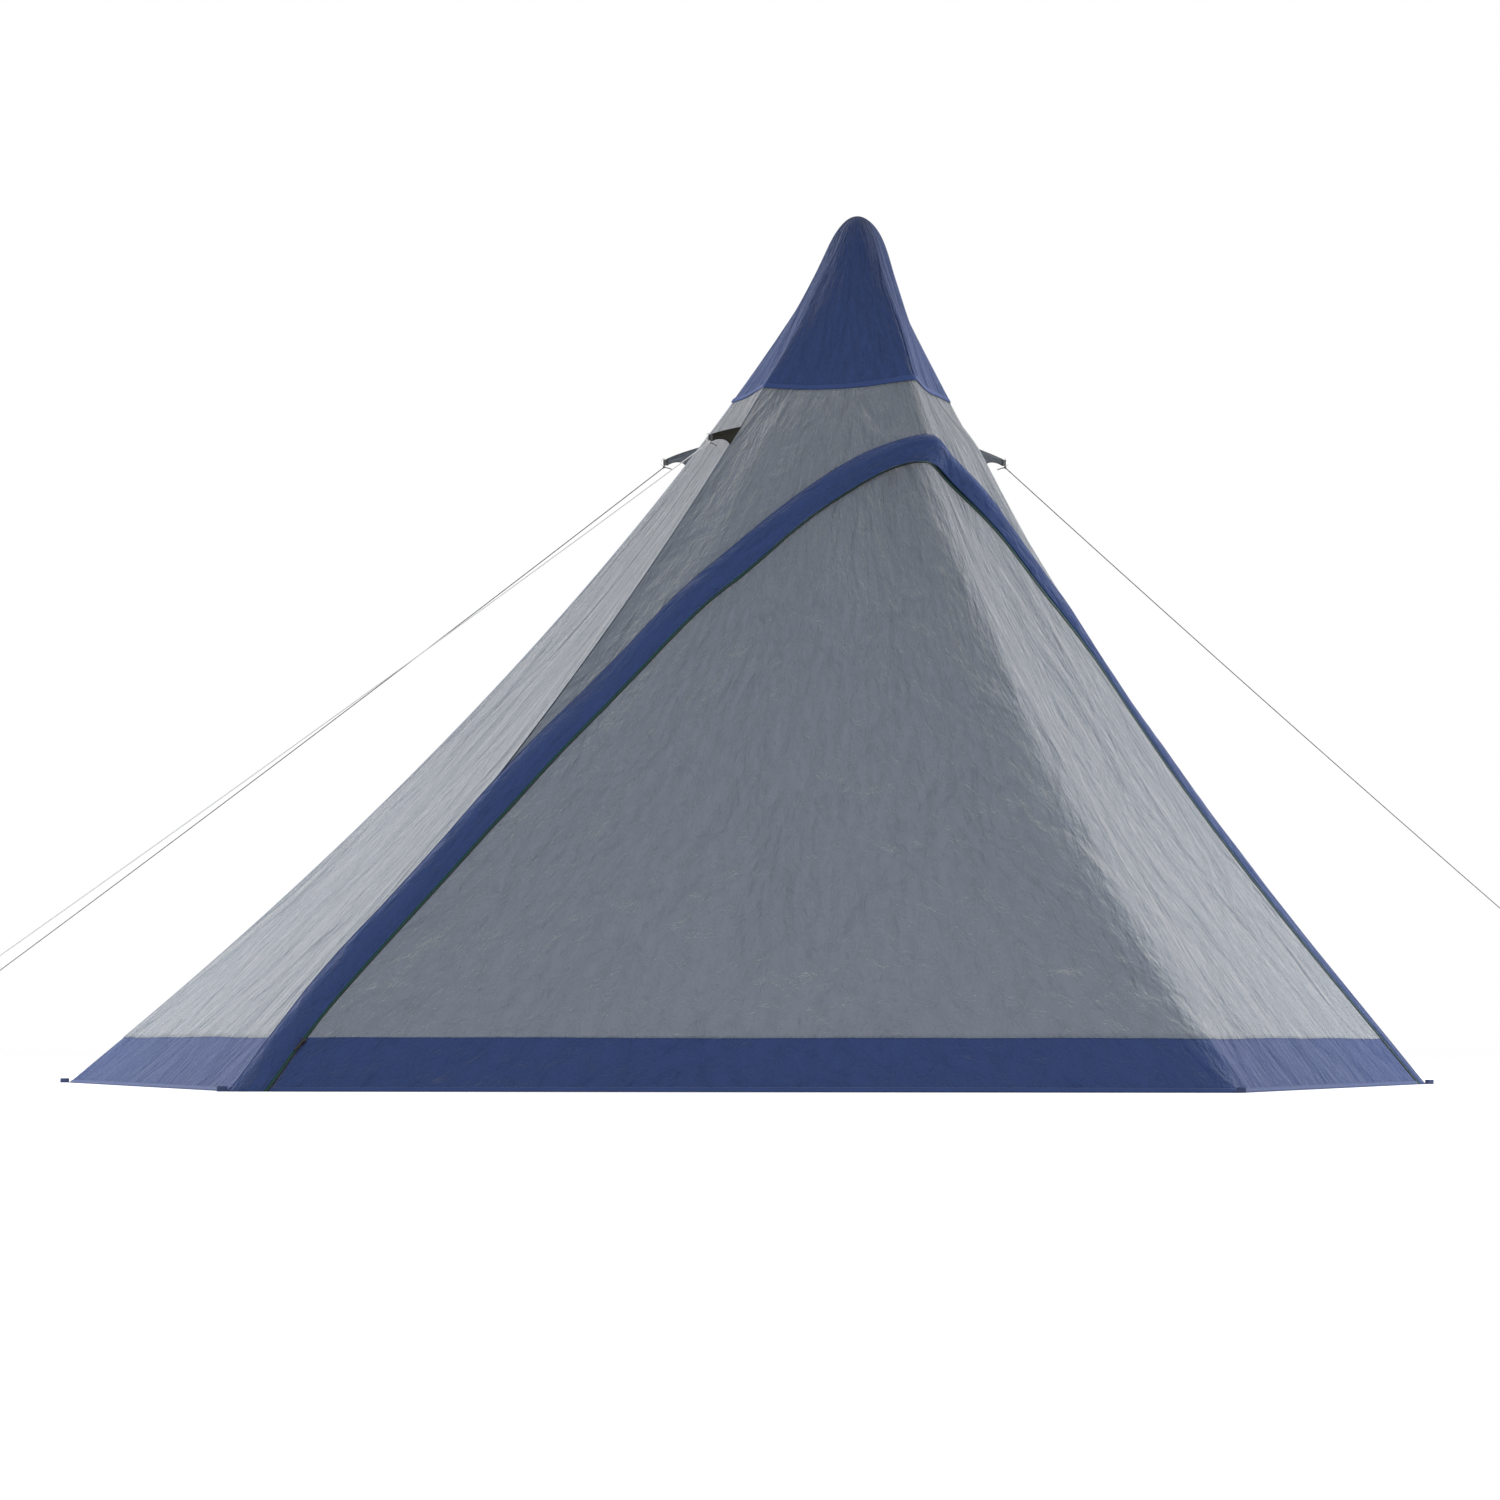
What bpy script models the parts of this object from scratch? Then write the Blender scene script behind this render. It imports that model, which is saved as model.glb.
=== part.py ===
# Pyramid tent: a five-sided canopy on one centre pole, with a zipped arch door over the front corner.
# All places are measured from the foot of the pole, x to the right of the door and y towards the back.
# One empty then carries the whole tent to the middle of its own outline.

import math

import bmesh
import bpy
from mathutils import Matrix, Vector

# Canopy
CANOPY_HEIGHT = 2.14
FLOOR_RADIUS = 1.88
POLE_OFFSET = 0.498
FRONT_PULL = 0.045
SKIRT_HEIGHT = 0.124
CAP_RIM_HEIGHT = 1.70
CLOTH_THICKNESS = 0.002
CLEARANCE = 0.0003
FACE_HOLLOW = 0.02
CORNERS = ("front", "front_right", "back_right", "back_left", "front_left")
RIDGE_SAG = {
    "front": 0.165,
    "front_right": 0.146,
    "back_right": 0.205,
    "back_left": 0.205,
    "front_left": 0.128,
}
HOOD_RISE = 0.055
HOOD_START_SHARE = 0.45
HOOD_FULL_SHARE = 0.72
HOOD_END_SHARE = 0.82
SHOULDER_BULGE = 0.033
SHOULDER_WIDTH_SHARES = (0.2, 0.6, 0.8, 1.0)
SHOULDER_HEIGHT_SHARES = (0.15, 0.5, 0.73, 0.8)
FRONT_FOLD_SHARE = 0.02
FRONT_FOLD_BULGE_SHARE = 0.08
APEX_RADIUS = 0.065
APEX_DROP = 0.127
ROUND_DROP = 0.42
APEX_BLEND_POWER = 3.2

# Arch over the door: share of the arch's height, share of the face's width from the front ridge
ARCH_DROP = 0.132
ARCH_HEIGHT = CAP_RIM_HEIGHT - ARCH_DROP
BAND_WIDTH = 0.058
BAND_STAND = 0.0008
ZIP_WIDTH = 0.008
FACING_INSET = 0.0035
DOOR_EDGE_INSET = BAND_WIDTH + 2 * ZIP_WIDTH + 3 * CLEARANCE
ARCH_OUTLINE_SHARES = (
    (-0.100, 1.000),
    (0.000, 0.999),
    (0.080, 1.009),
    (0.150, 1.015),
    (0.225, 1.015),
    (0.320, 1.010),
    (0.418, 1.001),
    (0.517, 0.984),
    (0.609, 0.946),
    (0.705, 0.893),
    (0.767, 0.840),
    (0.823, 0.762),
    (0.879, 0.661),
    (0.929, 0.522),
    (0.970, 0.340),
    (0.994, 0.135),
    (1.000, 0.000),
)
ARCH_STEPS = 52
OUTLINE_STEPS = 416

# Zip slider and its pull
SLIDER_PLACE = 0.11
SLIDER_TOP = 0.36
SLIDER_SHIFT = 0.003
SLIDER_LENGTH = 0.014
SLIDER_WIDTH = 0.010
SLIDER_THICKNESS = 0.004
SLIDER_EAR_WIDTH = 0.0016
SLIDER_EAR_HEIGHT = 0.0045
PULL_LENGTH = 0.032
PULL_WIDTH = 0.005
PULL_THICKNESS = 0.0016

# Pole
POLE_RADIUS = 0.0125
POLE_WALL = 0.001
POLE_SECTIONS = 3
POLE_SWAGE_LENGTH = 0.06
FOOT_RADIUS = 0.0185
FOOT_HEIGHT = 0.034
FOOT_FLOOR = 0.007
TOP_CAP_PLATE = 0.006
TOP_SOCKET_DEPTH = 0.04
TOP_SOCKET_WALL = 0.0035

# Guy points
TAB_DROP = 0.134
TAB_HEIGHT = CAP_RIM_HEIGHT - TAB_DROP
TAB_REACH = 0.067
TAB_ROOT_RISE = 0.024
TAB_ROOT_DROP = 0.020
TAB_THICKNESS = 0.002
TAB_TIP_DROP = 0.008
TAB_EDGE_LIFT = 0.0096
WEBBING_LENGTH = 0.012
WEBBING_HEIGHT = 0.0155
WEBBING_THICKNESS = 0.005
RING_WIRE_RADIUS = 0.001
RING_HEIGHT = 0.022
RING_DEPTH = 0.011
RING_BAR_INSET = 0.003

# Guylines: the last part of each one is its runner and its peg loop
CORD_RADIUS = 0.00125
CORD_BORE_CLEARANCE = 0.0005
CORD_SAG = 0.006
LINE_SPACING = 0.007
RUNNER_LENGTH = 0.030
RUNNER_HEIGHT = 0.016
RUNNER_THICKNESS = 0.007
RUNNER_TRAVEL = 0.060
LOOP_LENGTH = 0.165
LOOP_RADIUS = 0.014
KNOT_RADIUS = 0.0032
KNOT_LENGTH = 0.008
GUYLINES = {
    "back_left": {"slope": 0.6266, "runner_reach": 2.60},
    "front_left": {"slope": 0.6550, "runner_reach": 2.42},
    "front_right": {"slope": 0.6684, "runner_reach": 2.12},
}

# Peg loops at the hem's corners
PEG_LOOP_LENGTH = 0.026
PEG_LOOP_WIDTH = 0.013
PEG_LOOP_HEIGHT = 0.012
PEG_LOOP_WALL = 0.0015

# How finely shapes are divided
PANEL_ROWS = 14
PANEL_COLUMNS = 3
FRONT_ROWS = 9
DOOR_ROWS = 7
CAP_ROWS = 12
DOME_ROWS = 3
CAP_FACE_COLUMNS = 4
ROUND_STEPS = 20
LINE_STEPS = 14
CAP_LEVEL_POWER = 1.7
SHARP_ANGLE = 35
EDGE_ROUND_SHARE = 0.15
PROBE_STEP = 0.002
MERGE_DISTANCE = 0.00001
CUT_OVERRUN = 0.004

# Colour, roughness and metalness of each material
MATERIALS = {
    "grey_cloth": ((0.24, 0.26, 0.295), 0.8, 0.0),
    "blue_cloth": ((0.028, 0.05, 0.16), 0.7, 0.0),
    "zip_tape": ((0.02, 0.022, 0.03), 0.7, 0.0),
    "tab_cloth": ((0.12, 0.14, 0.17), 0.8, 0.0),
    "webbing": ((0.012, 0.012, 0.013), 0.85, 0.0),
    "steel_wire": ((0.6, 0.6, 0.6), 0.3, 1.0),
    "cord": ((0.55, 0.56, 0.57), 0.7, 0.0),
    "pole_tube": ((0.3, 0.31, 0.33), 0.4, 1.0),
    "black_plastic": ((0.02, 0.02, 0.022), 0.45, 0.0),
}


def clear_scene():
    for old in list(bpy.data.objects):
        bpy.data.objects.remove(old)


def make_material(name):
    colour, roughness, metallic = MATERIALS[name]
    material = bpy.data.materials.new(name)
    material.use_nodes = True
    shader = material.node_tree.nodes["Principled BSDF"]
    shader.inputs["Base Color"].default_value = (*colour, 1.0)
    shader.inputs["Roughness"].default_value = roughness
    shader.inputs["Metallic"].default_value = metallic
    return material


def make_empty(name, place, parent=None):
    empty = bpy.data.objects.new(name, None)
    bpy.context.collection.objects.link(empty)
    empty.parent = parent
    empty.location = place
    return empty


def add_piece(name, bm, material, parent, place=None, turn=None):
    bmesh.ops.recalc_face_normals(bm, faces=bm.faces)
    mesh = bpy.data.meshes.new(name)
    bm.to_mesh(mesh)
    bm.free()
    mesh.shade_smooth()
    mesh.set_sharp_from_angle(angle=math.radians(SHARP_ANGLE))
    mesh.materials.append(material)
    piece = bpy.data.objects.new(name, mesh)
    bpy.context.collection.objects.link(piece)
    piece.parent = parent
    if place is not None:
        piece.location = place
    if turn is not None:
        piece.rotation_euler = turn
    return piece


# Shape of the canopy

def floor_corner(corner):
    angle = math.radians(-90 + 72 * CORNERS.index(corner))
    x = FLOOR_RADIUS * math.cos(angle)
    y = POLE_OFFSET + FLOOR_RADIUS * math.sin(angle)
    if corner == "front":
        y -= FRONT_PULL
    return Vector((x, y, 0))


FLOOR = {corner: floor_corner(corner) for corner in CORNERS}
OUTWARD = {corner: FLOOR[corner].normalized() for corner in CORNERS}
APEX_BASE = CANOPY_HEIGHT - APEX_DROP


def front_face_distance():
    edge = FLOOR["front_right"] - FLOOR["front"]
    foot = edge.cross(FLOOR["front"]).length / edge.length
    return foot * CANOPY_HEIGHT / math.hypot(foot, CANOPY_HEIGHT)


# A point's distance from the foot of the pole grows by this share for each metre that it is lifted
LIFT_SHARE = 1 / front_face_distance()


def lifted(point, lift):
    return point * (1 + lift * LIFT_SHARE)


def smooth_step(low, high, value):
    share = min(1, max(0, (value - low) / (high - low)))
    return share * share * (3 - 2 * share)


def ridge_radius(corner, z):
    share = z / CANOPY_HEIGHT
    cone = FLOOR[corner].length * (1 - share) - RIDGE_SAG[corner] * 4 * share * (1 - share)
    rise = max(0, z - APEX_BASE) / APEX_DROP
    dome = APEX_RADIUS * math.sqrt(max(0, 1 - rise * rise))
    return (max(0, cone) ** APEX_BLEND_POWER + dome ** APEX_BLEND_POWER) ** (1 / APEX_BLEND_POWER)


def hood_radius(z):
    share = z / CANOPY_HEIGHT
    up = smooth_step(HOOD_START_SHARE, HOOD_FULL_SHARE, share)
    down = 1 - smooth_step(HOOD_END_SHARE, 1, share)
    return ridge_radius("front", z) + HOOD_RISE * up * down


def rounded(point, radius, z):
    weight = smooth_step(CANOPY_HEIGHT - ROUND_DROP, CANOPY_HEIGHT, z)
    reach = math.hypot(point.x, point.y)
    scale = 1 + weight * (radius / reach - 1) if reach > MERGE_DISTANCE else 1
    return Vector((point.x * scale, point.y * scale, z))


def hollow(share, z):
    height_share = min(1, max(0, z / CANOPY_HEIGHT))
    return FACE_HOLLOW * 4 * share * (1 - share) * 4 * height_share * (1 - height_share)


def rise_and_fall(shares, value):
    start, full, fade, end = shares
    return smooth_step(start, full, value) * (1 - smooth_step(fade, end, value))


def shoulder(share, z):
    height = rise_and_fall(SHOULDER_HEIGHT_SHARES, z / CANOPY_HEIGHT)
    return SHOULDER_BULGE * rise_and_fall(SHOULDER_WIDTH_SHARES, share) * height


def side_point(first, second, z, share):
    first_radius = ridge_radius(first, z)
    second_radius = ridge_radius(second, z)
    start = OUTWARD[first] * first_radius
    end = OUTWARD[second] * second_radius
    outward = (end - start).cross(Vector((0, 0, 1))).normalized()
    point = start.lerp(end, share) - outward * hollow(share, z)
    return rounded(point, first_radius + (second_radius - first_radius) * share, z)


def front_point(z, share, hooded):
    side = "front_left" if share < 0 else "front_right"
    width_share = abs(share)
    height_share = min(1, max(0, z / CANOPY_HEIGHT))
    fold = FRONT_FOLD_SHARE + FRONT_FOLD_BULGE_SHARE * 4 * height_share * (1 - height_share)
    depth_share = width_share + fold / 2 * math.exp(-2 * width_share / fold)
    side_radius = ridge_radius(side, z)
    front_radius = hood_radius(z) if hooded else ridge_radius("front", z)
    end = OUTWARD[side] * side_radius
    point = Vector((end.x * width_share, (end.y + front_radius) * depth_share - front_radius, 0))
    across = Vector((end.x, end.y + front_radius, 0)).normalized()
    outward = Vector((across.y, -across.x, 0)) * (-1 if share < 0 else 1)
    point += outward * (shoulder(width_share, z) - hollow(width_share, z))
    return rounded(point, front_radius + (side_radius - front_radius) * width_share, z)


# Lines along the arch, each a list of (height, share of the face's width)

def catmull_rom(points, share):
    place = share * (len(points) - 1)
    index = min(int(place), len(points) - 2)
    t = place - index
    before = points[max(0, index - 1)]
    start = points[index]
    end = points[index + 1]
    after = points[min(len(points) - 1, index + 2)]
    return tuple(
        0.5 * (2 * b + (c - a) * t + (2 * a - 5 * b + 4 * c - d) * t ** 2 + (3 * b - a - 3 * c + d) * t ** 3)
        for a, b, c, d in zip(before, start, end, after)
    )


def evenly(line, steps):
    places = [front_point(z, share, True) for z, share in line]
    lengths = [0.0]
    for first, second in zip(places, places[1:]):
        lengths.append(lengths[-1] + (second - first).length)
    result = []
    index = 0
    for step in range(steps + 1):
        target = lengths[-1] * step / steps
        while index < len(line) - 2 and lengths[index + 1] < target:
            index += 1
        span = lengths[index + 1] - lengths[index]
        t = (target - lengths[index]) / span
        start = line[index]
        end = line[index + 1]
        result.append((start[0] + (end[0] - start[0]) * t, start[1] + (end[1] - start[1]) * t))
    return result


def arch_outline():
    left = [(ARCH_HEIGHT * height, -width) for height, width in ARCH_OUTLINE_SHARES]
    right = [(height, -width) for height, width in reversed(left[:-1])]
    control = left + right
    fine = [catmull_rom(control, step / OUTLINE_STEPS) for step in range(OUTLINE_STEPS + 1)]
    return evenly(fine, ARCH_STEPS)


OUTLINE = arch_outline()


def arch_line(inset):
    line = []
    for index, (z, share) in enumerate(OUTLINE):
        before = OUTLINE[max(0, index - 1)]
        after = OUTLINE[min(len(OUTLINE) - 1, index + 1)]
        tangent = front_point(*after, True) - front_point(*before, True)
        above = front_point(z + PROBE_STEP, share, True)
        under = front_point(z - PROBE_STEP, share, True)
        along_z = (above - under) / (2 * PROBE_STEP)
        farther = front_point(z, share + PROBE_STEP, True)
        nearer = front_point(z, share - PROBE_STEP, True)
        along_share = (farther - nearer) / (2 * PROBE_STEP)
        normal = along_share.cross(along_z).normalized()
        if normal.dot(front_point(z, share, True)) < 0:
            normal = -normal
        inward = tangent.cross(normal).normalized() * inset
        aa = along_z.dot(along_z)
        ab = along_z.dot(along_share)
        bb = along_share.dot(along_share)
        ra = inward.dot(along_z)
        rb = inward.dot(along_share)
        determinant = aa * bb - ab * ab
        rise = (ra * bb - rb * ab) / determinant
        shift = (rb * aa - ra * ab) / determinant
        line.append((z + rise, share + shift))
    return line


def share_limit(z):
    side = OUTWARD["front_left"] * ridge_radius("front_left", z)
    width = (side - OUTWARD["front"] * hood_radius(z)).length
    return 1 - 2 * CLEARANCE / width


def held_inside(line):
    return [(z, max(-share_limit(z), min(share_limit(z), share))) for z, share in line]


def line_above(line, low):
    above = [index for index, point in enumerate(line) if point[0] > low]
    first = above[0]
    last = above[-1]
    start = line_crossing(line[first - 1], line[first], low)
    end = line_crossing(line[last + 1], line[last], low)
    return [start] + line[first:last + 1] + [end]


def line_crossing(below, above, low):
    t = (low - below[0]) / (above[0] - below[0])
    return (low, below[1] + (above[1] - below[1]) * t)


def share_at(line, z, side):
    half = sorted(point for point in line if point[1] * side > 0)
    for below, above in zip(half, half[1:]):
        if below[0] <= z <= above[0]:
            return line_crossing(below, above, z)[1]
    return side


# Cloth pieces: closed shells, with the outer side at step 1 and the inner side at step 0

def cloth_shell(name, material, parent, columns, rows, place, at_ground=False, all_round=False):
    bm = bmesh.new()
    bmesh.ops.create_grid(bm, x_segments=columns, y_segments=rows, size=0.5)
    bmesh.ops.translate(bm, verts=bm.verts, vec=(0.5, 0.5, 0))
    extruded = bmesh.ops.extrude_face_region(bm, geom=bm.faces[:], use_keep_orig=True)
    raised = [item for item in extruded["geom"] if isinstance(item, bmesh.types.BMVert)]
    bmesh.ops.translate(bm, verts=raised, vec=(0, 0, 1))
    if all_round:
        open_walls_of_ring(bm)
    for vert in bm.verts:
        u, v, side = vert.co
        vert.co = place(u, v, round(side))
    bmesh.ops.remove_doubles(bm, verts=bm.verts, dist=MERGE_DISTANCE)
    if at_ground:
        cut_at_ground(bm)
    return add_piece(name, bm, material, parent)


def open_walls_of_ring(bm):
    walls = [
        face for face in bm.faces
        if all(abs(vert.co.x) < MERGE_DISTANCE for vert in face.verts)
        or all(abs(vert.co.x - 1) < MERGE_DISTANCE for vert in face.verts)
        or all(abs(vert.co.y - 1) < MERGE_DISTANCE for vert in face.verts)
    ]
    bmesh.ops.delete(bm, geom=walls, context="FACES")


def cut_at_ground(bm):
    bmesh.ops.bisect_plane(
        bm, geom=bm.verts[:] + bm.edges[:] + bm.faces[:], dist=MERGE_DISTANCE,
        plane_co=(0, 0, 0), plane_no=(0, 0, 1), clear_inner=True)
    rim = [edge for edge in bm.edges if edge.is_boundary]
    bmesh.ops.edgenet_fill(bm, edges=rim)


def side_panel(name, material, parent, first, second, low, high, rows):
    def place(u, v, side):
        z = low + (high - low) * v
        width = (FLOOR[second] - FLOOR[first]).length * (1 - z / CANOPY_HEIGHT)
        edge = CLEARANCE / width
        point = side_point(first, second, z, edge + (1 - 2 * edge) * u)
        return lifted(point, (side - 1) * CLOTH_THICKNESS)

    return cloth_shell(name, material, parent, PANEL_COLUMNS, rows, place)


def hood_share(z, share):
    return (hood_radius(z) - ridge_radius("front", z)) / HOOD_RISE * max(0, 1 - abs(share))


def arch_strip(name, material, parent, outer_line, inner_line, across, lift, outer_hood, inner_hood):
    def place(u, v, side):
        index = round(u * ARCH_STEPS)
        z = outer_line[index][0] + (inner_line[index][0] - outer_line[index][0]) * v
        share = outer_line[index][1] + (inner_line[index][1] - outer_line[index][1]) * v
        hood = outer_hood + (inner_hood - outer_hood) * v
        point = front_point(z, share, False).lerp(front_point(z, share, True), hood)
        outer = lifted(point, lift)
        if side:
            return outer
        # Where the strip falls back under the hood, its wall is measured level towards the pole
        level = outer - Vector((outer.x, outer.y, 0)).normalized() * CLOTH_THICKNESS
        fall = (outer_hood - inner_hood) * hood_share(z, share)
        return lifted(point, lift - CLOTH_THICKNESS).lerp(level, fall)

    return cloth_shell(name, material, parent, ARCH_STEPS, across, place, at_ground=True)


def front_panel(material, parent):
    line = held_inside(OUTLINE)
    first = last = ARCH_STEPS // 2
    while abs(line[first][1]) < share_limit(line[first][0]):
        first -= 1
    while abs(line[last][1]) < share_limit(line[last][0]):
        last += 1
    line = line[first:last + 1]
    top = CAP_RIM_HEIGHT - CLEARANCE

    def place(u, v, side):
        z, share = line[round(u * (len(line) - 1))]
        limit = share_limit(z)
        top_share = share / limit * share_limit(top)
        level = z + (top - z) * v
        point = front_point(level, share + (top_share - share) * v, True)
        return lifted(point, (side - 1) * CLOTH_THICKNESS)

    return cloth_shell("front_panel", material, parent, len(line) - 1, FRONT_ROWS, place)


def door_cloth(material, parent):
    edge = arch_line(DOOR_EDGE_INSET)
    low = SKIRT_HEIGHT + CLEARANCE
    line = line_above(edge, low)
    columns = len(line) - 1

    def place(u, v, side):
        z, share = line[round(u * columns)]
        base_share = line[0][1] + (line[-1][1] - line[0][1]) * u
        point = front_point(low + (z - low) * v, base_share + (share - base_share) * v, False)
        return lifted(point, (side - 1) * CLOTH_THICKNESS)

    return cloth_shell("door_panel", material, parent, columns, DOOR_ROWS, place)


def door_skirt(material, parent):
    edge = arch_line(DOOR_EDGE_INSET)
    columns = len(line_above(edge, SKIRT_HEIGHT)) - 1
    levels = [0] + sorted(z for z, share in edge if 0 < z < SKIRT_HEIGHT) + [SKIRT_HEIGHT]

    def place(u, v, side):
        z = levels[round(v * (len(levels) - 1))]
        left = share_at(edge, z, -1)
        right = share_at(edge, z, 1)
        point = front_point(z, left + (right - left) * u, False)
        return lifted(point, (side - 1) * CLOTH_THICKNESS)

    return cloth_shell("door_skirt", material, parent, columns, len(levels) - 1, place)


def cap_level(v):
    return CANOPY_HEIGHT - (CANOPY_HEIGHT - CAP_RIM_HEIGHT) * (1 - v) ** CAP_LEVEL_POWER


def cap_point(u, v):
    place = u * len(CORNERS)
    face = min(int(place), len(CORNERS) - 1)
    share = place - face
    z = cap_level(v)
    if face == 0:
        return front_point(z, share, True)
    if face == len(CORNERS) - 1:
        return front_point(z, share - 1 if share < 1 else 0, True)
    return side_point(CORNERS[face], CORNERS[face + 1], z, share)


def cap_lining(point):
    base = Vector((0, 0, CAP_RIM_HEIGHT))
    return base + (point - base) * (1 - 2 * CLOTH_THICKNESS / (CANOPY_HEIGHT - CAP_RIM_HEIGHT))


def canopy_cap(material, parent):
    def place(u, v, side):
        point = cap_point(u, v)
        return point if side else cap_lining(point)

    columns = CAP_FACE_COLUMNS * len(CORNERS)
    return cloth_shell("canopy_cap", material, parent, columns, CAP_ROWS, place, all_round=True)


# Turned and cut pieces

def turned(profile, steps=ROUND_STEPS, closed=True):
    bm = bmesh.new()
    verts = [bm.verts.new((radius, 0, z)) for radius, z in profile]
    edges = [bm.edges.new(pair) for pair in zip(verts, verts[1:])]
    if closed:
        edges.append(bm.edges.new((verts[-1], verts[0])))
    bmesh.ops.spin(bm, geom=verts + edges, cent=(0, 0, 0), axis=(0, 0, 1), angle=2 * math.pi,
                   steps=steps, use_merge=True)
    bmesh.ops.remove_doubles(bm, verts=bm.verts, dist=MERGE_DISTANCE)
    return bm


def box(size, centre=(0, 0, 0)):
    bm = bmesh.new()
    bmesh.ops.create_cube(bm, size=1)
    bmesh.ops.scale(bm, verts=bm.verts, vec=size)
    bmesh.ops.translate(bm, verts=bm.verts, vec=centre)
    return bm


def rounded_box(size):
    bm = box(size)
    bmesh.ops.bevel(bm, geom=bm.edges[:], offset=min(size) * EDGE_ROUND_SHARE, affect="EDGES",
                    segments=1, profile=0.5, material=-1)
    return bm


def add_cutter(name, bm, piece):
    cutter = add_piece(name, bm, piece.data.materials[0], piece)
    cutter.hide_render = True
    cutter.display_type = "WIRE"
    cut = piece.modifiers.new(name, "BOOLEAN")
    cut.operation = "DIFFERENCE"
    cut.solver = "EXACT"
    cut.object = cutter


def round_bar(radius, length, steps=12):
    bm = bmesh.new()
    bmesh.ops.create_cone(bm, cap_ends=True, segments=steps, radius1=radius, radius2=radius, depth=length)
    return bm


def make_pole(parent, tube_material, plastic):
    inner = POLE_RADIUS - POLE_WALL
    plug = inner - CLEARANCE
    plug_bore = plug - POLE_WALL
    # The dome has the same levels as the cloth over it, so that their facets run side by side
    dome = []
    flat_share = math.cos(math.pi / (CAP_FACE_COLUMNS * len(CORNERS))) ** 2
    for row in range(DOME_ROWS + 1):
        level = cap_level(1 - row / CAP_ROWS)
        rise = (level - APEX_BASE) / APEX_DROP
        radius = APEX_RADIUS * math.sqrt(max(0, 1 - rise * rise)) * flat_share
        place = cap_lining(Vector((radius, 0, level)))
        dome.append((max(0, place.x - CLEARANCE), place.z - CLEARANCE))
    rim_radius, rim = dome[-1]
    start = FOOT_FLOOR + CLEARANCE
    socket_radius = POLE_RADIUS + CLEARANCE
    boss_radius = socket_radius + TOP_SOCKET_WALL
    end = rim - TOP_CAP_PLATE - CLEARANCE
    span = (end - start) / POLE_SECTIONS
    names = ("pole_lower_section", "pole_middle_section", "pole_upper_section")
    for index, name in enumerate(names):
        low = start + index * span + (CLEARANCE if index else 0)
        high = start + (index + 1) * span
        profile = [(POLE_RADIUS, low), (POLE_RADIUS, high)]
        if index < POLE_SECTIONS - 1:
            swage_top = high + POLE_SWAGE_LENGTH
            profile += [(plug, high), (plug, swage_top), (plug_bore, swage_top), (plug_bore, high)]
            profile += [(inner, high - POLE_WALL)]
        else:
            profile += [(inner, high)]
        profile += [(inner, low)]
        add_piece(name, turned(profile), tube_material, parent)

    foot_inner = POLE_RADIUS + CLEARANCE
    chamfer = FOOT_FLOOR / 3
    foot_profile = [
        (0, 0),
        (FOOT_RADIUS - chamfer, 0),
        (FOOT_RADIUS, chamfer),
        (FOOT_RADIUS - chamfer, FOOT_HEIGHT),
        (foot_inner, FOOT_HEIGHT),
        (foot_inner, FOOT_FLOOR),
        (0, FOOT_FLOOR),
    ]
    add_piece("pole_foot", turned(foot_profile, closed=False), plastic, parent)

    cap_profile = list(dome)
    socket_low = end - TOP_SOCKET_DEPTH
    cap_profile += [
        (rim_radius, rim - TOP_CAP_PLATE / 2),
        (boss_radius, rim - TOP_CAP_PLATE),
        (boss_radius, socket_low),
        (socket_radius, socket_low),
        (socket_radius, end + CLEARANCE),
        (0, end + CLEARANCE),
    ]
    add_piece("pole_top_cap", turned(cap_profile, closed=False), plastic, parent)


# Guy points: a pleat of cloth on the ridge, a webbing tab at its tip and a wire ring in the tab

def guy_frame(corner):
    return Matrix.Rotation(math.atan2(OUTWARD[corner].y, OUTWARD[corner].x), 4, "Z")


def ring_place(corner):
    tip = ridge_radius(corner, TAB_HEIGHT) + TAB_REACH
    centre = tip + CLEARANCE + WEBBING_LENGTH - RING_BAR_INSET
    return Vector((centre, 0, TAB_HEIGHT - TAB_TIP_DROP))


def guy_tab(corner, parent, material):
    low = TAB_HEIGHT - TAB_ROOT_DROP
    high = TAB_HEIGHT + TAB_ROOT_RISE
    tip = ridge_radius(corner, TAB_HEIGHT) + TAB_REACH
    half = WEBBING_HEIGHT / 2
    centre = TAB_HEIGHT - TAB_TIP_DROP
    outline = []
    root_steps = 3
    for step in range(root_steps + 1):
        z = low + (high - low) * step / root_steps
        outline.append((ridge_radius(corner, z) + 2 * CLEARANCE, z))
    outline.append((tip, centre + half))
    outline.append((tip, centre - half))
    arc_steps = 5
    start = Vector((tip, centre - half))
    end = Vector(outline[0])
    for step in range(1, arc_steps):
        t = step / arc_steps
        point = start.lerp(end, t)
        outline.append((point.x, point.y + TAB_EDGE_LIFT * 4 * t * (1 - t)))
    bm = bmesh.new()
    verts = [bm.verts.new((x, -TAB_THICKNESS / 2, z)) for x, z in outline]
    face = bm.faces.new(verts)
    extruded = bmesh.ops.extrude_face_region(bm, geom=[face], use_keep_orig=True)
    raised = [item for item in extruded["geom"] if isinstance(item, bmesh.types.BMVert)]
    bmesh.ops.translate(bm, verts=raised, vec=(0, TAB_THICKNESS, 0))
    return add_piece("guy_tab_" + corner, bm, material, parent)


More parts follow.
